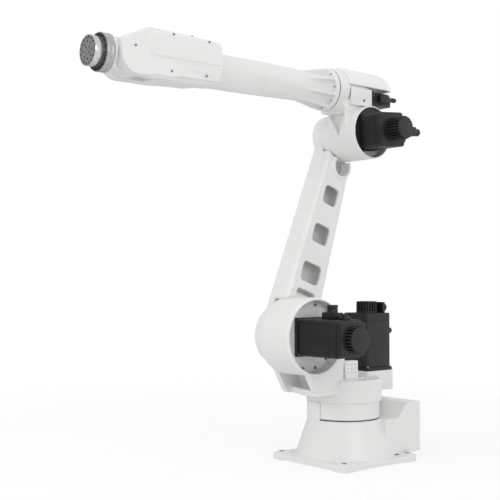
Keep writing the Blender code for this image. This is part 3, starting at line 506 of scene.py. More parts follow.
def pins(name, body, axis, u, v, face, direction, radius, length, count):
    """Contact pins in a plug socket: one in the middle and a ring of others."""
    bm = bmesh.new()
    points = ring_points(u, v, radius, count, face) + [(u, v, face)]
    for pin_u, pin_v, seat in points:
        shank = ring_outline(pin_u, pin_v, 1.2, 12)
        tip = ring_outline(pin_u, pin_v, 0.6, 12)
        add_loft(bm, axis, ((shank, seat - direction * 1.0), (shank, seat + direction * length),
                            (tip, seat + direction * (length + 0.8))))
    return small_parts(bm, name, body, BRASS)


def recoat(material, *nodes):
    """Gives CAD nodes that stay in view their procedural material."""
    for node in nodes:
        frame["nodes"][node].material_slots[0].material = material


# --- Base ---
BOX_REAR = node_box("base_casting")[0][0]
PANEL_FACE = BOX_REAR - 5
PLUG_SEAT = BOX_REAR - 9
PLUG_Z = 118
PLATE_HALF = 180.0
PAD_PLACE = 150
PAD_TOP = 27
BOLT_PLACE = 155
CONE_FOOT_RADIUS = 174
CONE_TOP_RADIUS = 130
BASE_TOP = 149
CORNERS = [(side_x, side_y) for side_x in (1, -1) for side_y in (1, -1)]

# Each plug: name, y, radius, length, then its pins' depth, circle, length and count
PANEL_PLUGS = (("power", 55, 22, 30, 14, 8, 9, 6), ("encoder", -55, 18, 26, 12, 7, 8, 9))


def base_casting():
    """Coned pedestal with the connector box behind it, both hollow."""
    solid = disc("Z", 0, 0, CONE_FOOT_RADIUS, 4, 21, 128)
    join(solid, lathe("Z", 0, 0, ((CONE_FOOT_RADIUS, 18), (173, 23.5), (169, 31), (164.5, 45),
                                  (CONE_TOP_RADIUS, 142))))
    join(solid, disc("Z", 0, 0, CONE_TOP_RADIUS, 141, BASE_TOP))
    housing = [(BOX_REAR, 26), (-60, 26), (-60, 147.4), (-124, 149.2), (-172, 201), (BOX_REAR, 201)]
    join(solid, prism("Y", housing, -145, 145))
    cut(solid, disc("Z", 0, 0, 100, 50, 166))
    cut(solid, block((BOX_REAR - 5, -108, 44), (-178, 108, 180)))
    cut(solid, block((-182, -40, 60), (-80, 40, 110)))
    return solid


def foot_plate():
    """Square plate with four round pads, its holes, and an edge clear of the floor between feet."""
    plate = prism("Z", round_rectangle(0, 0, PLATE_HALF * 2, PLATE_HALF * 2, 10), 0, 22)
    inside = PLATE_HALF - 0.5
    for side_x, side_y in CORNERS:
        pad = disc("Z", side_x * PAD_PLACE, side_y * PAD_PLACE, 27, 19, PAD_TOP, 48)
        join(plate, keep(pad, block((-inside, -inside, 0), (inside, inside, PAD_TOP + 1))))
    run, clearance = 122, 3
    for side in (1, -1):
        near, far = sorted((side * (PLATE_HALF - 12), side * (PLATE_HALF + 2)))
        cut(plate, block((-run, near, -1), (run, far, clearance)),
            block((near, -run, -1), (far, run, clearance)))
    for side_x, side_y in CORNERS:
        cut(plate, disc("Z", side_x * BOLT_PLACE, side_y * BOLT_PLACE, 9.5, -1, PAD_TOP + 2, 32))
    return plate


def foot_hole_shade_linings():
    """Thin dark linings of the four floor bolt holes: painted shade inside the holes."""
    shade_linings = []
    for side_x, side_y in CORNERS:
        centre_x, centre_y = side_x * BOLT_PLACE, side_y * BOLT_PLACE
        shade_lining = disc("Z", centre_x, centre_y, 9.6, 1, PAD_TOP - 0.8, 32)
        shade_linings.append(cut(shade_lining, disc("Z", centre_x, centre_y, 8.6, 0, PAD_TOP + 1, 32)))
    return gather(*shade_linings)


def rear_panel():
    panel = prism("X", round_rectangle(0, 112, 246, 160, 8), PANEL_FACE, BOX_REAR - GAP)
    for plug in PANEL_PLUGS:
        join(panel, disc("X", plug[1], PLUG_Z, plug[2] + 2, PLUG_SEAT, BOX_REAR - 3))
    return panel


def sector(inner, outer, start, stop, low, high, steps=32):
    """Upright curved block about the turning axis, between two angles."""
    outline = arc(0, 0, outer, start, stop, steps) + arc(0, 0, inner, stop, start, steps)
    return prism("Z", outline, low, high)


cast(base_casting(), "base_shell", "base", 3.0, ["base_casting"])
# Dark linings in the floor bolt holes are painted shade, darkening the holes.
crisp(foot_hole_shade_linings(), "foot_hole_painted_shade", "base", (), DARK, 0.1, 1)
crisp(foot_plate(), "foot_plate", "base", (), PAINT, 1.6, 3)
crisp(rear_panel(), "rear_panel", "base", ["base_rear_panel"], ALLOY, 0.8)
panel_points = [(y, z, PANEL_FACE) for y in (-112, -38, 38, 112) for z in (42, 182)]
screws("rear_panel_screws", "base", "X", -1, panel_points, 4.0, 2.4)
for word, plug_y, radius, length, pin_depth, pin_circle, pin_length, pin_count in PANEL_PLUGS:
    crisp(plug_socket("X", plug_y, PLUG_Z, PLUG_SEAT, -1, radius, length), word + "_plug_socket", "base",
          [word + "_inlet"], SOCKET, 0.3, 1)
    pins(word + "_pins", "base", "X", plug_y, PLUG_Z, PLUG_SEAT - pin_depth, -1, pin_circle, pin_length,
         pin_count)
crisp(plug_socket("X", 0, 60, PANEL_FACE, -1, 9, 22), "air_fitting", "base",
      ["air_inlet"], BRASS, 0.2, 1)
crisp(sector(124.1, 131, -38, 4, 146.3, 211), "stop_lug", "base", ["j1_stop_block"],
      PAINT, 1.4, 3)


# --- Turret ---
TURRET_BOTTOM = 152.5
RING_RADIUS = 132
DECK_BOTTOM = 241
BARREL_RADIUS = 132
LID_FOOT, LID_TOP = 289.3, 293
TURN_MOTOR = (-153, -34)
TURN_MOTOR_SPAN = (306, 512)
SHOULDER_MOTOR_SPAN = (38, 225)
MOTOR_SIDE = 130
PLATE_FACE_Y = 37.7


def web_outline(shift=0.0):
    """Side of a web, with its forward edge shifted along X."""
    return [(198 + shift, DECK_BOTTOM), (216 + shift, 262), (273 + shift, 372), (290 + shift, 410),
            (205, 442), (84, 392), (76, 362), (90, 322), (134, 262), (150, DECK_BOTTOM)]


def turret_casting():
    """Turning disc and ring, a deck with two webs and a spine, and the shoulder barrel."""
    solid = disc("Z", 0, 0, 123.5, TURRET_BOTTOM, 214, 128)
    join(solid, lathe("Z", 0, 0, ((RING_RADIUS, 212), (RING_RADIUS, 279), (130.4, 284.5), (125.5, 289)), 128))
    deck = [(-40, 60), (150, 80), (208, 80), (208, 15), (158, -115), (-20, -115)]
    join(solid, prism("Z", deck, DECK_BOTTOM, 262))
    join(solid, prism("Y", web_outline(), 56, 80))
    join(solid, prism("Y", web_outline(-14), -112, -88.5))
    join(solid, prism("Y", [(76, 240), (122, 240), (142, 345), (90, 380), (70, 340)], -100, 70))
    join(solid, lathe("Y", *SHOULDER,
                      ((112, -86), (BARREL_RADIUS, -64), (BARREL_RADIUS, 64), (130.5, 70), (126, 80)), 160))
    cut(solid, disc("Y", *SHOULDER, 122, -20, 90, 144))
    cut(solid, disc("Y", *SHOULDER, 92, -130, 0, 120))
    cut(solid, disc("Y", *SHOULDER, 106, -130, -86, 120))
    cut(solid, disc("Z", 0, 0, 36, 100, 320, 64))
    cut(solid, disc("Z", 0, 0, 97, 100, 162, 120))
    return solid


def clamp_block():
    """Block on the lid with nine round sockets for cables in its side."""
    solid = block((-2, 38, LID_TOP + GAP), (58, 66, 352))
    for level in (312, 326, 340):
        for offset in (10, 28, 46):
            cut(solid, disc("Y", offset, level, 3.2, 60, 70, 24))
    return solid


def motor_bracket():
    """Square box under the turning motor, cut to the ring beside it."""
    solid = prism("Z", round_rectangle(-151, -32, 134, 134, 5), 236, TURN_MOTOR_SPAN[0] - GAP)
    cut(solid, disc("Z", 0, 0, RING_RADIUS + 0.6, 200, LID_FOOT, 128))
    cut(solid, disc("Z", *TURN_MOTOR, 44, 252, 330, 64))
    return solid


def frame_screws(centre_u, centre_v, seat, reach=57):
    """Seats of the four screws in a square motor flange."""
    return [(centre_u + a, centre_v + b, seat) for a in (-reach, reach) for b in (-reach, reach)]


def boxed_socket(low, high, axis, radius, length):
    """Square connector foot with a grooved round socket standing on one side."""
    foot = block(low, high)
    index = "XYZ".index(axis)
    middle = [(a + b) / 2 for a, b in zip(low, high)]
    face = high[index] if length > 0 else low[index]
    u, v = [middle[i] for i in range(3) if i != index]
    direction = 1 if length > 0 else -1
    start, stop = sorted((face - direction * 1.5, face + length))
    join(foot, disc(axis, u, v, radius, start, stop, 48))
    bore = sorted((face + length * 0.45, face + length * 1.4))
    cut(foot, disc(axis, u, v, radius * 0.66, bore[0], bore[1], 32))
    groove_low, groove_high = sorted((face + length * 0.40, face + length * 0.52))
    collar = disc(axis, u, v, radius + 2, groove_low, groove_high, 48)
    cut(collar, disc(axis, u, v, radius * 0.9, groove_low - 1, groove_high + 1, 48))
    return cut(foot, collar)


crisp(sector(110, 121.5, -180, 179.9, 149.2, TURRET_BOTTOM, 96), "turning_seal", "base", (),
      DARK, 0.3, 1)
cast(turret_casting(), "turret_shell", "turret", 2.8, ["turret_casting"], rounds=3)
crisp(sector(124.0, 131, 160.5, 165.5, 172, 211.7, 6), "stop_striker", "turret", ["j1_stop_striker"],
      PAINT, 1.0, 2)
crisp(prism("Z", round_rectangle(20, 35, 92, 76, 12), LID_FOOT, LID_TOP), "bore_lid", "turret",
      ["turret_lid"], COVER, 0.8)
screws("bore_lid_screws", "turret", "Z", 1,
       [(x, y, LID_TOP) for x, y in ((-16, 6), (56, 6), (-16, 64), (20, 4))], 3.2, 2.2)
crisp(clamp_block(), "cable_clamp", "turret", ["cable_clamp_block"], COVER, 1.0)
crisp(motor_bracket(), "turn_motor_bracket", "turret", ["j1_motor_bracket"], PAINT, 2.0, 3)

crisp(servo("Z", *TURN_MOTOR, MOTOR_SIDE, *TURN_MOTOR_SPAN, 11), "turn_motor", "turret", ["j1_motor"],
      MOTOR)
screws("turn_motor_screws", "turret", "Z", 1, frame_screws(*TURN_MOTOR, 317), 4.5, 5)
crisp(finned_cap("Z", *TURN_MOTOR, TURN_MOTOR_SPAN[1], 554), "turn_motor_cap", "turret",
      ["j1_motor_cap"], MOTOR, 0.4, 1)
crisp(plug_socket("X", 4, 447, -214.5, -1, 12, 20), "turn_power_socket", "turret",
      ["j1_motor_power_socket"], SOCKET, 0.2, 1)
crisp(boxed_socket((-204, -22, 512.3), (-192.4, 8, 551), "X", 14, -11), "turn_signal_socket", "turret",
      ["j1_motor_signal_socket"], SOCKET, 0.6)

crisp(servo("Y", *SHOULDER, MOTOR_SIDE, *SHOULDER_MOTOR_SPAN, 12, tail=23), "shoulder_motor",
      "turret", ["j2_motor"], MOTOR)
screws("shoulder_motor_screws", "turret", "Y", 1, frame_screws(*SHOULDER, 50), 4.5, 5)
crisp(finned_cap("Y", *SHOULDER, 248, 280, 45), "shoulder_motor_cap", "turret",
      ["j2_motor_cap"], MOTOR, 0.4, 1)
crisp(boxed_socket((185, 122, 503.8), (225, 182, 526), "Z", 18, 25), "shoulder_power_socket", "turret",
      ["j2_motor_power_socket"], SOCKET, 0.8)
crisp(boxed_socket((190, 194, 503.8), (220, 222, 514), "Z", 10, 9), "shoulder_signal_socket", "turret",
      ["j2_motor_signal_socket"], SOCKET, 0.6)


def motor_plate():
    plate = lathe("Y", *SHOULDER, ((121.2, 20), (121.2, PLATE_FACE_Y)), 144)
    return cut(plate, disc("Y", *SHOULDER, 56, 15, 45, 72))


crisp(motor_plate(), "motor_plate", "turret", ["j2_motor_plate"], PAINT, 1.0)
screws("motor_plate_screws", "turret", "Y", 1,
       ring_points(*SHOULDER, 110, 12, PLATE_FACE_Y, 15), 5.0, 5.0)


# --- Lower arm ---
ARM_FAR_Y, ARM_NEAR_Y = -121, -28


def along_arm(distance, offset):
    """Point at a distance up the arm from the shoulder, offset toward +X."""
    x = SHOULDER_X - distance * math.sin(ARM_LEAN) + offset * math.cos(ARM_LEAN)
    z = SHOULDER_Z + distance * math.cos(ARM_LEAN) + offset * math.sin(ARM_LEAN)
    return (x, z)


def arm_half_depth(distance):
    return 88.0 - 34.0 * distance / ARM_LENGTH


def arm_outline(ease):
    """Four corners of the tapering beam, drawn in by an ease."""
    return [along_arm(distance, side * (arm_half_depth(distance) - ease))
            for distance, side in ((0, 1), (ARM_LENGTH, 1), (ARM_LENGTH, -1), (0, -1))]


# Each window: distance up the arm, width, height
WINDOWS = ((131.0, 88.0, 62.0), (226.0, 88.0, 69.0), (371.0, 74.0, 67.0), (517.0, 65.0, 66.0))
ARM_LOW, ARM_HIGH = 151, 580
SCOOP_X, SCOOP_Z = along_arm(634, -10)
SCOOP_BORE = 35
SCOOP_FLOOR_Y = ARM_NEAR_Y - 26


def lower_arm_casting():
    """Tapered beam between two round ends, with windows, a hollow back, a lug and the scoop."""
    edges, eased = arm_outline(0), arm_outline(8)
    beam = loft("Y", [(eased, ARM_FAR_Y), (edges, ARM_FAR_Y + 7), (edges, ARM_NEAR_Y - 7),
                      (eased, ARM_NEAR_Y)])
    lug_x, lug_z = along_arm(164, 66)
    lug = turned(round_rectangle(lug_x, lug_z, 15, 36, 3), lug_x, lug_z, ARM_LEAN)
    join(beam, prism("Y", lug, ARM_NEAR_Y - 8, ARM_NEAR_Y + 5))
    join(beam, disc("Y", *SHOULDER, 101, ARM_FAR_Y - 6, ARM_NEAR_Y, 144))
    join(beam, disc("Y", *ELBOW, 80, ARM_FAR_Y, ARM_NEAR_Y, 120))
    cut(beam, disc("Y", *SHOULDER, 136, -87.5, 0, 160))
    cut(beam, disc("Y", *ELBOW, 96.5, -69.5, 0, 120))
    cut(beam, disc("Y", *SHOULDER, 84, -140, -95, 120))
    cut(beam, disc("Y", *SHOULDER, 40, -140, -60, 72))
    cut(beam, disc("Y", *ELBOW, 62, -140, -100, 96))
    cut(beam, disc("Y", *ELBOW, 40, -140, -20, 72))
    low_half, high_half = arm_half_depth(ARM_LOW) - 14, arm_half_depth(ARM_HIGH) - 12
    inside = [along_arm(ARM_LOW, low_half), along_arm(ARM_HIGH, high_half),
              along_arm(ARM_HIGH, -high_half), along_arm(ARM_LOW, -low_half)]
    cut(beam, prism("Y", inside, -88, -40))
    for distance, width, height in WINDOWS:
        centre = along_arm(distance, 0)
        upright = round_rectangle(*centre, width, height, 14)
        cut(beam, prism("Y", turned(upright, *centre, ARM_LEAN), ARM_NEAR_Y - 20, ARM_NEAR_Y + 5))
    scoop = lathe("Y", SCOOP_X, SCOOP_Z, ((50, ARM_NEAR_Y - 4), (49, ARM_NEAR_Y), (41, ARM_NEAR_Y + 12)), 96)
    cut(scoop, disc("Y", *ELBOW, 97.5, -60, 20, 112))
    join(beam, scoop)
    return cut(beam, disc("Y", SCOOP_X, SCOOP_Z, SCOOP_BORE, SCOOP_FLOOR_Y, ARM_NEAR_Y + 20, 96))


def domed_cover(centre_u, centre_v, radius, low, high):
    """Round cover facing -Y with a rolled rim and a shallow centre."""
    rolled_rim = ((radius * 0.80, low + 1.2), (radius * 0.84, low), (radius - 4, low),
                  (radius - 1.2, low + 1.2), (radius, low + 4), (radius, high))
    return lathe("Y", centre_u, centre_v, rolled_rim, 120)


def barrel_lip(centre_u, centre_v, inner, outer, start, stop, low, high):
    """Lip that closes the gap between a barrel and the arm round it."""
    outline = arc(centre_u, centre_v, outer, start, stop, 48)
    outline += reversed(arc(centre_u, centre_v, inner, start, stop, 48))
    return prism("Y", outline, low, high)


# Alloy disc at the bottom of the scoop's bore: painted shade, darkening the hollow.
crisp(disc("Y", SCOOP_X, SCOOP_Z, SCOOP_BORE - 0.4, SCOOP_FLOOR_Y - 0.2, SCOOP_FLOOR_Y + 0.6, 96),
      "scoop_painted_shade", "lower_arm", (), ALLOY, 0.2, 1)
cast(lower_arm_casting(), "lower_arm_shell", "lower_arm", 2.8, ["lower_arm_casting"], rounds=3)
crisp(barrel_lip(*SHOULDER, 132.4, 137, 72, 146, -84, -30), "shoulder_lip", "lower_arm", (),
      PAINT, 0.3, 1)
crisp(barrel_lip(*ELBOW, 93.0, 97.5, 256, 322, -66, -55), "elbow_lip", "lower_arm", (),
      PAINT, 0.3, 1)
crisp(domed_cover(*SHOULDER, 83.6, -130, -95.3), "shoulder_lid", "lower_arm",
      ["shoulder_cover"], COVER, 0.6)
screws("shoulder_lid_screws", "lower_arm", "Y", -1,
       ring_points(*SHOULDER, 75.5, 8, -127.6, 22.5), 3.2, 2.4)
crisp(domed_cover(*ELBOW, 61.6, -124, -100.3), "elbow_lid", "lower_arm", ["elbow_cover"],
      COVER, 0.6)
screws("elbow_lid_screws", "lower_arm", "Y", -1,
       ring_points(*ELBOW, 54.5, 6, -121.6, 30), 3.0, 2.4)


# --- Elbow ---
ELBOW_TILT = math.radians(-4.5)
ELBOW_MOTOR_END = 193
ROLL_FRONT = 84.8
ROLL_MOTOR = (20, 1281)


def elbow_casting():
    """Barrel across the arm, a neck with a three-sided pocket, and the round roll housing."""
    solid = lathe("Y", *ELBOW, ((84.5, -68), (92.5, -58), (92.5, 101), (90.5, 104)), 144)
    neck = [(64, 1250), (52, 1222), (50, ELBOW_Z), (ELBOW_X, 1070), (-130, 1120), (-150, 1190),
            (-96, 1250)]
    join(solid, prism("Y", neck, -26.8, 60))
    join(solid, lathe("X", *ROLL, ((60, -71.7), (68, -40), (70, 43)), 120))
    join(solid, disc("X", *ROLL, 76, 42, ROLL_FRONT, 128))
    join(solid, prism("Y", [(-66, 1222), (52, 1222), (60, 1262), (-66, 1262)], -58, 66))
    cut(solid, prism("X", [(-24, 1216), (54, 1214), (24, 1136)], 30, 90))
    cut(solid, disc("Y", *ELBOW, 87, 66, 114, 128))
    well = round_rectangle(*ELBOW, 123, 123, 5)
    cut(solid, prism("Y", turned(well, *ELBOW, ELBOW_TILT), 23.7, 70))
    cut(solid, disc("Y", *ELBOW, 56, -58, 30, 96))
    cut(solid, disc("Y", *ELBOW, 41, -80, -40, 72))
    cut(solid, disc("X", *ROLL, 58, -60, 100, 96))
    return solid


def elbow_rear_cover():
    """Hood over the back of the roll housing, flat below and closing to the rear."""
    sections = []
    for radius, x in ((50, -190), (59, -185), (66, -176), (71, -158), (73, -140), (75, -60), (75, 41)):
        outline = [(y, max(z, FOREARM_Z + 16)) for y, z in arc(0, FOREARM_Z + 8, radius, 0, 180, 48)]
        sections.append((outline, x))
    cover = loft("X", sections)
    cut(cover, disc("X", *ROLL, 70.6, -74, 60, 96))
    return cut(cover, disc("X", 0, FOREARM_Z + 6, 62, -172, -70, 96))


def roll_bracket():
    bracket = block((-64, 66.3, 1243), (38, 78, 1303))
    cut(bracket, disc("X", *ROLL, 76.5, -80, 60, 96))
    return cut(bracket, disc("Y", -26, 1262, 5.4, 70, 90, 32))


def roll_motor():
    """Small motor lying beside the roll axis: flange, grooved body and a lower tail."""
    body = prism("X", round_rectangle(*ROLL_MOTOR, 80, 52, 6), -94, -72)
    join(body, prism("X", round_rectangle(*ROLL_MOTOR, 74, 46, 6), -176, -93))
    join(body, prism("X", round_rectangle(20, 1276, 66, 36, 6), -188, -175))
    for x in (-104, -112, -120, -128):
        ring = prism("X", round_rectangle(*ROLL_MOTOR, 84, 56, 6), x - 2, x)
        cut(ring, prism("X", round_rectangle(*ROLL_MOTOR, 71.5, 43.5, 6), x - 3, x + 1))
        cut(body, ring)
    return body


def motor_adapter():
    """Black plate filling the mouth of the elbow barrel on its upper side round the motor."""
    plate = prism("Y", arc(*ELBOW, 86.6, -58, 186, 72), 67, 99)
    hole = round_rectangle(*ELBOW, 121, 121, 4)
    return cut(plate, prism("Y", turned(hole, *ELBOW, ELBOW_TILT), 60, 110))


def roll_seal():
    ring = disc("X", *ROLL, 73.2, ROLL_FRONT + 0.1, 87.1, 128)
    return cut(ring, disc("X", *ROLL, 60, 80, 90, 96))


cast(elbow_casting(), "elbow_shell", "elbow", 2.4, ["elbow_casting"], rounds=3)
crisp(motor_adapter(), "elbow_motor_adapter", "elbow", (), MOTOR, 0.5, 1)
crisp(roll_seal(), "roll_seal", "elbow", (), DARK, 0.2, 1)
crisp(servo("Y", *ELBOW, 120, 24, ELBOW_MOTOR_END, 11, ELBOW_TILT, slim=2), "elbow_motor", "elbow",
      ["j3_motor"], MOTOR)
crisp(finned_cap("Y", *ELBOW, ELBOW_MOTOR_END, 256, 40), "elbow_motor_cap", "elbow", ["j3_motor_cap"],
      MOTOR, 0.4, 1)
plug = boxed_socket((-106, 214, 1126), (-70, 246, 1156), "X", 13, -24)
cut(plug, disc("Y", *ELBOW, 42.3, 200, 260))
crisp(plug, "elbow_power_socket", "elbow", ["j3_motor_power_socket"], SOCKET, 0.6)
crisp(boxed_socket((-112, 166, 1110), (-102.2, 190, 1134), "X", 8, -9), "elbow_signal_socket", "elbow",
      ["j3_motor_signal_socket"], SOCKET, 0.5)
cast(elbow_rear_cover(), "elbow_hood", "elbow", 2.2, ["elbow_rear_cover"], COVER)
crisp(roll_bracket(), "roll_motor_bracket", "elbow", ["j4_motor_bracket"], PAINT, 1.2, 3)
screws("roll_bracket_screw", "elbow", "Y", 1, [(-26, 1262, 72.5)], 5.0, 3.6, DARK)
crisp(roll_motor(), "roll_motor", "elbow", ["j4_motor"], MOTOR, 0.6)
crisp(boxed_socket((-160, 57.3, 1270), (-116, 75, 1294), "X", 8.5, -36), "roll_motor_socket", "elbow",
      ["j4_motor_socket"], SOCKET, 0.6)


# --- Forearm ---
TUBE_FRONT = 597.7


def forearm_rib(angle):
    """Tapering rib along the flare, turned to its angle about the roll axis."""
    profile = [(100, 40), (100, 73), (130, 70), (175, 61), (216, 53.2), (216, 40)]
    rib = prism("Y", profile, -3.5, 3.5)
    to_axis = Matrix.Translation((0, 0, FOREARM_Z * MM))
    rib.data.transform(to_axis @ Matrix.Rotation(angle, 4, "X"))
    return rib


def forearm_flare():
    """Round flange and a waisted core with eight ribs between them."""
    core = ((53, 100), (48, 120), (48, 172), (52, 215), (54, 300), (56, 404))
    solid = lathe("X", *ROLL, ((74, 87.2), (74, 104)), 128)
    join(solid, lathe("X", *ROLL, core, 120))
    for index in range(8):
        join(solid, forearm_rib(math.radians(22.5 + 45 * index)))
    return cut(solid, disc("X", *ROLL, 36, 0, 500, 96))


def forearm_tube():
    solid = lathe("X", *ROLL, ((56, 404.3), (56.5, 500), (57, TUBE_FRONT)), 120)
    return cut(solid, disc("X", *ROLL, 44, 300, 700, 96))


# Wrist housing: x, then top, bottom, lower half width and lower corner radius, from the roll axis
HOUSING_SECTIONS = ((598, 70, -56, 60, 44), (611, 77.2, -56.4, 60, 43), (640, 78, -57, 60, 40),
                    (682, 80, -64, 59, 32), (744, 82, -64, 58, 22), (800, 83, -64, 64, 6),
                    (872, 84, -64, 64, 6))
# Side covers: x, then top, bend and half width there, low edge and half width there
COVER_SECTIONS = ((598, 66, -24, 61, -45, 51), (612, 74, -24.3, 61.1, -45.5, 52),
                  (744, 79, -26, 62, -50, 60.5), (800, 80, -29, 64.4, -57, 64.4),
                  (814, 80, -30, 64.4, -58, 64.4))


def housing_loft(inset, first, last):
    """Wrist housing between two x places, drawn in by an inset."""
    z = FOREARM_Z
    sections = []
    for x, top, bottom, lower_half, radius in HOUSING_SECTIONS:
        half, lower, upper, floor = 64 - inset, lower_half - inset, top - inset, bottom + inset
        bend = max(radius - inset, 3)
        points = [(half, z - 4)] + arc(half - 7, z + upper - 7, 7, 0, 90, 6)
        points += arc(7 - half, z + upper - 7, 7, 90, 180, 6) + [(-half, z - 4)]
        points += arc(bend - lower, z + floor + bend, bend, 180, 270, 12)
        points += arc(lower - bend, z + floor + bend, bend, 270, 360, 12)
        sections.append((points, min(max(x, first), last)))
    return loft("X", sections, warped=True)


def wrist_casting():
    """Hollow housing ending in a fork with two round cheeks."""
    z = FOREARM_Z
    solid = housing_loft(0, 598, 872)
    side = arc(*WRIST, 63, -90, 84, 48)
    side += [(871, z + 83), (800, z + 80), (800, z - 58), (852, z - 58), (868, z - 63)]
    join(solid, prism("Y", side, -63.8, 63.8))
    slot = [(WRIST_X + 80, z + 90), (WRIST_X - 70, z + 90), (WRIST_X - 70, z - 90), (WRIST_X + 80, z - 90)]
    cut(solid, prism("Y", slot, -28, 28))
    cut(solid, housing_loft(10, 608, 818))
    cut(solid, prism("Y", [(616, z + 64), (616, z - 26), (806, z - 30), (806, z + 64)], -90, 90))
    for direction in (1, -1):
        low, high = sorted((direction * 38, direction * 90))
        cut(solid, prism("Y", arc(*WRIST, 36, -90, 90, 36) + [(790, z + 36), (790, z - 36)], low, high))
    cut(solid, disc("Y", *WRIST, 16, -100, 100, 48))
    return cut(solid, disc("X", *ROLL, 44, 560, 640, 96))


def wrist_cover(direction):
    """Side cover on +Y or -Y: bent skin, round cheek and a raised plain panel."""
    z = FOREARM_Z
    inner = 64.3
    sections = []
    for x, top, bend, bend_half, low, low_half in COVER_SECTIONS:
        profile = [(inner, z + top), (inner, z - 4), (bend_half, z + bend), (low_half, z + low)]
        outer = [(y + 2.7, height) for y, height in reversed(profile)]
        sections.append(([(direction * y, height) for y, height in profile + outer], x))
    cover = loft("X", sections, warped=True)
    cheek = arc(*WRIST, 62.5, -90, 84, 48) + [(874, z + 78), (806, z + 78), (806, z - 56)]
    cheek += [(852, z - 56), (868, z - 61)]
    low, high = sorted((direction * 65.0, direction * 67.5))
    gather(cover, prism("Y", cheek, low, high))
    panel = [(606, z - 1), (858, z - 1), (868, z + 10), (874, z + 40), (868, z + 62), (852, z + 75),
             (618, z + 73), (606, z + 64)]
    raised = [(x + (740 - x) * 0.035, height + (z + 36 - height) * 0.11) for x, height in panel]
    layers = [(panel, direction * 65.8), (panel, direction * 66.8), (raised, direction * 71.0)]
    return gather(cover, loft("Y", layers if direction > 0 else layers[::-1]))


cast(forearm_flare(), "forearm_root", "forearm", 2.0, ["forearm_flare"], rounds=3)
screws("forearm_flange_bolts", "forearm", "X", 1, ring_points(*ROLL, 65, 8, 103.6),
       3.4, 3.6, ALLOY)
crisp(forearm_tube(), "forearm_pipe", "forearm", ["forearm_tube"], PAINT, 1.0, 3)
cast(wrist_casting(), "wrist_shell", "forearm", 2.2, ["wrist_casting"], rounds=4)
screws("wrist_top_screw", "forearm", "Z", 1, [(706, 54, 1376.6)], 4.6, 4.0)
screws("wrist_rear_screw", "forearm", "X", -1, [(58.5, 1317, 600)], 3.6, 4.0)
for word, direction, node in (("near", 1, "wrist_cover_near"), ("far", -1, "wrist_cover_far")):
    cast(wrist_cover(direction), "wrist_lid_" + word, "forearm", 1.3, [node], COVER, 3)
    seats = ((786, 1369.5, 71), (652, 1366, 71), (919, 1318, 67.5), (790, 1259, 66.4), (655, 1262, 61.2))
    side_points = [(x, z, direction * seat) for x, z, seat in seats]
    screws("wrist_lid_screws_" + word, "forearm", "Y", direction, side_points, 3.6, 2.2)


# --- Wrist and tool flange ---
TILT_HALF = 27.4
RING_FACE_X = 1007
# Bolt circles of the tool face: circle radius, count, hole radius, x of the bottom, first angle
TOOL_CIRCLES = ((38.0, 16, 3.7, 1028, 11.25), (25, 8, 3.5, 1028, 0.0), (12, 4, 3.0, 1030, 45))


def tilt_housing():
    """Hub between the fork's cheeks, with a neck and seat for the tool's reducer."""
    z = FOREARM_Z
    hub = disc("Y", *WRIST, 60, -TILT_HALF, TILT_HALF, 128)
    neck = [(WRIST_X, z + 50), (WRIST_X, z - 50), (978, z - 46), (978, z + 46)]
    join(hub, prism("Y", neck, -TILT_HALF, TILT_HALF))
    join(hub, lathe("X", *ROLL, ((42, 960), (46, 966), (59, 974), (59, 979)), 120))
    cut(hub, disc("Y", *WRIST, 15, -40, 40, 48))
    return cut(hub, disc("X", *ROLL, 30, 930, 990, 72))


def reducer_ring():
    """Round case of the tool's reducer, with one groove round it."""
    profile = ((57.0, 979.3), (57.5, 980), (57.5, 991), (56.9, 991.4), (56.9, 992.2), (57.5, 992.6),
               (57.5, 1005), (56, RING_FACE_X))
    return lathe("X", *ROLL, profile, 144)


# Dark ring on the reducer's front face round the tool plate: painted shade of the groove between them.
def reducer_face_shade():
    shade_ring = disc("X", *ROLL, 55.2, 1005.6, 1007.06, 128)
    return cut(shade_ring, disc("X", *ROLL, 43.6, 1000, 1010, 128))


def flange():
    """Tool plate with its stepped rim and three circles of holes."""
    rim = ((41, 1007.3), (43, 1009), (43, 1019), (45, 1020), (45, TOOL_FACE_X))
    solid = lathe("X", *ROLL, rim, 144)
    for radius, count, hole_radius, bottom_x, start in TOOL_CIRCLES:
        for y, z, _ in ring_points(*ROLL, radius, count, 0, start):
            cut(solid, disc("X", y, z, hole_radius, bottom_x, 1045, 20))
    return solid


def hole_shade_discs():
    """Dark discs filling the tapped holes of the tool face to just below it: painted shade in the holes."""
    discs = []
    for radius, count, _, _, start in TOOL_CIRCLES:
        discs += [disc("X", y, z, 2.9, 1031, TOOL_FACE_X - 0.5, 20)
                  for y, z, _ in ring_points(*ROLL, radius, count, 0, start)]
    return gather(*discs)


cast(tilt_housing(), "tilt_shell", "wrist", 1.7, ["tilt_housing"])
crisp(reducer_ring(), "tool_reducer_ring", "wrist", ["j6_reducer"], RING, 0.4)
# The dark face ring is painted shade of the groove between the reducer and the tool plate.
crisp(reducer_face_shade(), "tool_reducer_face_shade", "wrist", (), DARK, 0.1, 1)
screws("tool_reducer_screws", "wrist", "X", 1, ring_points(*ROLL, 49.5, 16, RING_FACE_X - 0.1, 11.25),
       3.4, 0.9, SOCKET)
# Dark discs in the tool face holes are painted shade.
crisp(hole_shade_discs(), "tool_hole_painted_shade", "tool", (), SOCKET, 0.1, 1)
crisp(flange(), "tool_plate", "tool", ["tool_flange"], STEEL, 0.5)

recoat(DARK, "j1_reducer_case", "j2_reducer", "j3_reducer", "j4_reducer", "j1_output_plate", "j2_output_hub")
recoat(ALLOY, "cable_sleeve", "j5_drive_pulley", "j6_drive_pulley", "j5_shaft_pulley", "j6_shaft_pulley")
recoat(MOTOR, "j5_motor", "j6_motor")
recoat(RUBBER, "j5_belt", "j6_belt")


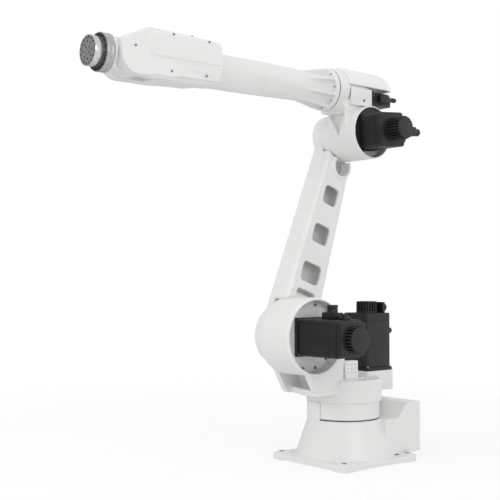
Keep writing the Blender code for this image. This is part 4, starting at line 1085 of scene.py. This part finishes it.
# --- Floor, light and camera ---
def studio_floor():
    """Pale floor disc that fades into the white surround."""
    bm = bmesh.new()
    bmesh.ops.create_circle(bm, cap_ends=True, segments=96, radius=3.2)
    floor = link_solid(bm, "studio_floor")
    floor.location.z = -0.0005
    material, tree, shader, coords = start_material("pale_floor", (0.9, 0.9, 0.9), 0.9)
    tint(tree, shader, noise(tree, coords, 3.0), (0.89, 0.89, 0.885), (0.91, 0.91, 0.905))
    distance = tree.nodes.new("ShaderNodeVectorMath")
    distance.operation = "LENGTH"
    tree.links.new(coords, distance.inputs[0])
    fade = span(tree, distance.outputs["Value"], 0.35, 0.0, 0.9, 3.0, "SMOOTHSTEP")
    tree.links.new(fade, shader.inputs["Alpha"])
    shader.inputs["Emission Color"].default_value = (1.0, 1.0, 1.0, 1.0)
    shader.inputs["Emission Strength"].default_value = 0.12
    floor.data.materials.append(material)


def studio_sky(seen, lighting):
    """Even white surround; what the camera sees is a little brighter than what lights the arm."""
    world = bpy.data.worlds.new("studio_sky")
    bpy.context.scene.world = world
    world.use_nodes = True
    tree = world.node_tree
    background = tree.nodes["Background"]
    background.inputs["Color"].default_value = (1.0, 1.0, 1.0, 1.0)
    path = tree.nodes.new("ShaderNodeLightPath")
    strength = span(tree, path.outputs["Is Camera Ray"], lighting, seen)
    # polished and black surfaces mirror a studio that is dark on one side and below
    coords = tree.nodes.new("ShaderNodeTexCoord")
    side = tree.nodes.new("ShaderNodeVectorMath")
    side.operation = "DOT_PRODUCT"
    side.inputs[1].default_value = (0.60, -0.72, -0.34)
    tree.links.new(coords.outputs["Generated"], side.inputs[0])
    shade = span(tree, side.outputs["Value"], 1.15, 0.42, -0.2, 0.75, "SMOOTHSTEP")
    mirrored = tree.nodes.new("ShaderNodeMix")
    mirrored.inputs["A"].default_value = 1.0
    tree.links.new(path.outputs["Is Glossy Ray"], mirrored.inputs["Factor"])
    tree.links.new(shade, mirrored.inputs["B"])
    product = tree.nodes.new("ShaderNodeMath")
    product.operation = "MULTIPLY"
    tree.links.new(strength, product.inputs[0])
    tree.links.new(mirrored.outputs["Result"], product.inputs[1])
    tree.links.new(product.outputs["Value"], background.inputs["Strength"])


def soft_light(name, location, target, size, power, mirrored=True):
    light = bpy.data.lights.new(name, "AREA")
    light.shape = "DISK"
    light.size = size
    light.energy = power
    lamp = bpy.data.objects.new(name, light)
    bpy.context.collection.objects.link(lamp)
    lamp.location = location
    lamp.visible_glossy = mirrored
    lamp.rotation_euler = (Vector(target) - Vector(location)).to_track_quat("-Z", "Y").to_euler()


studio_floor()
studio_sky(1.0, 0.71)
soft_light("key_light", (3.6, -0.6, 2.2), (0.1, 0.0, 0.8), 2.2, 31, False)
soft_light("side_light", (0.9, 4.2, 2.0), (0.2, 0.0, 0.9), 2.5, 30)
soft_light("top_light", (1.0, 0.9, 4.0), (0.4, 0.0, 1.0), 2.0, 12, False)
soft_light("back_light", (-3.6, 0.5, 2.6), (0.0, 0.0, 0.9), 2.5, 10)

camera_data = bpy.data.cameras.new("camera")
camera_data.lens = 70.77
camera_data.sensor_width = 36.0
camera_data.clip_end = 200.0
camera = bpy.data.objects.new("camera", camera_data)
bpy.context.collection.objects.link(camera)
camera.location = (2.476883, 2.467981, 0.644194)
camera.rotation_euler = (math.radians(91.547), 0.0, math.radians(140.343))
bpy.context.scene.camera = camera
bpy.context.scene.view_settings.view_transform = "Standard"
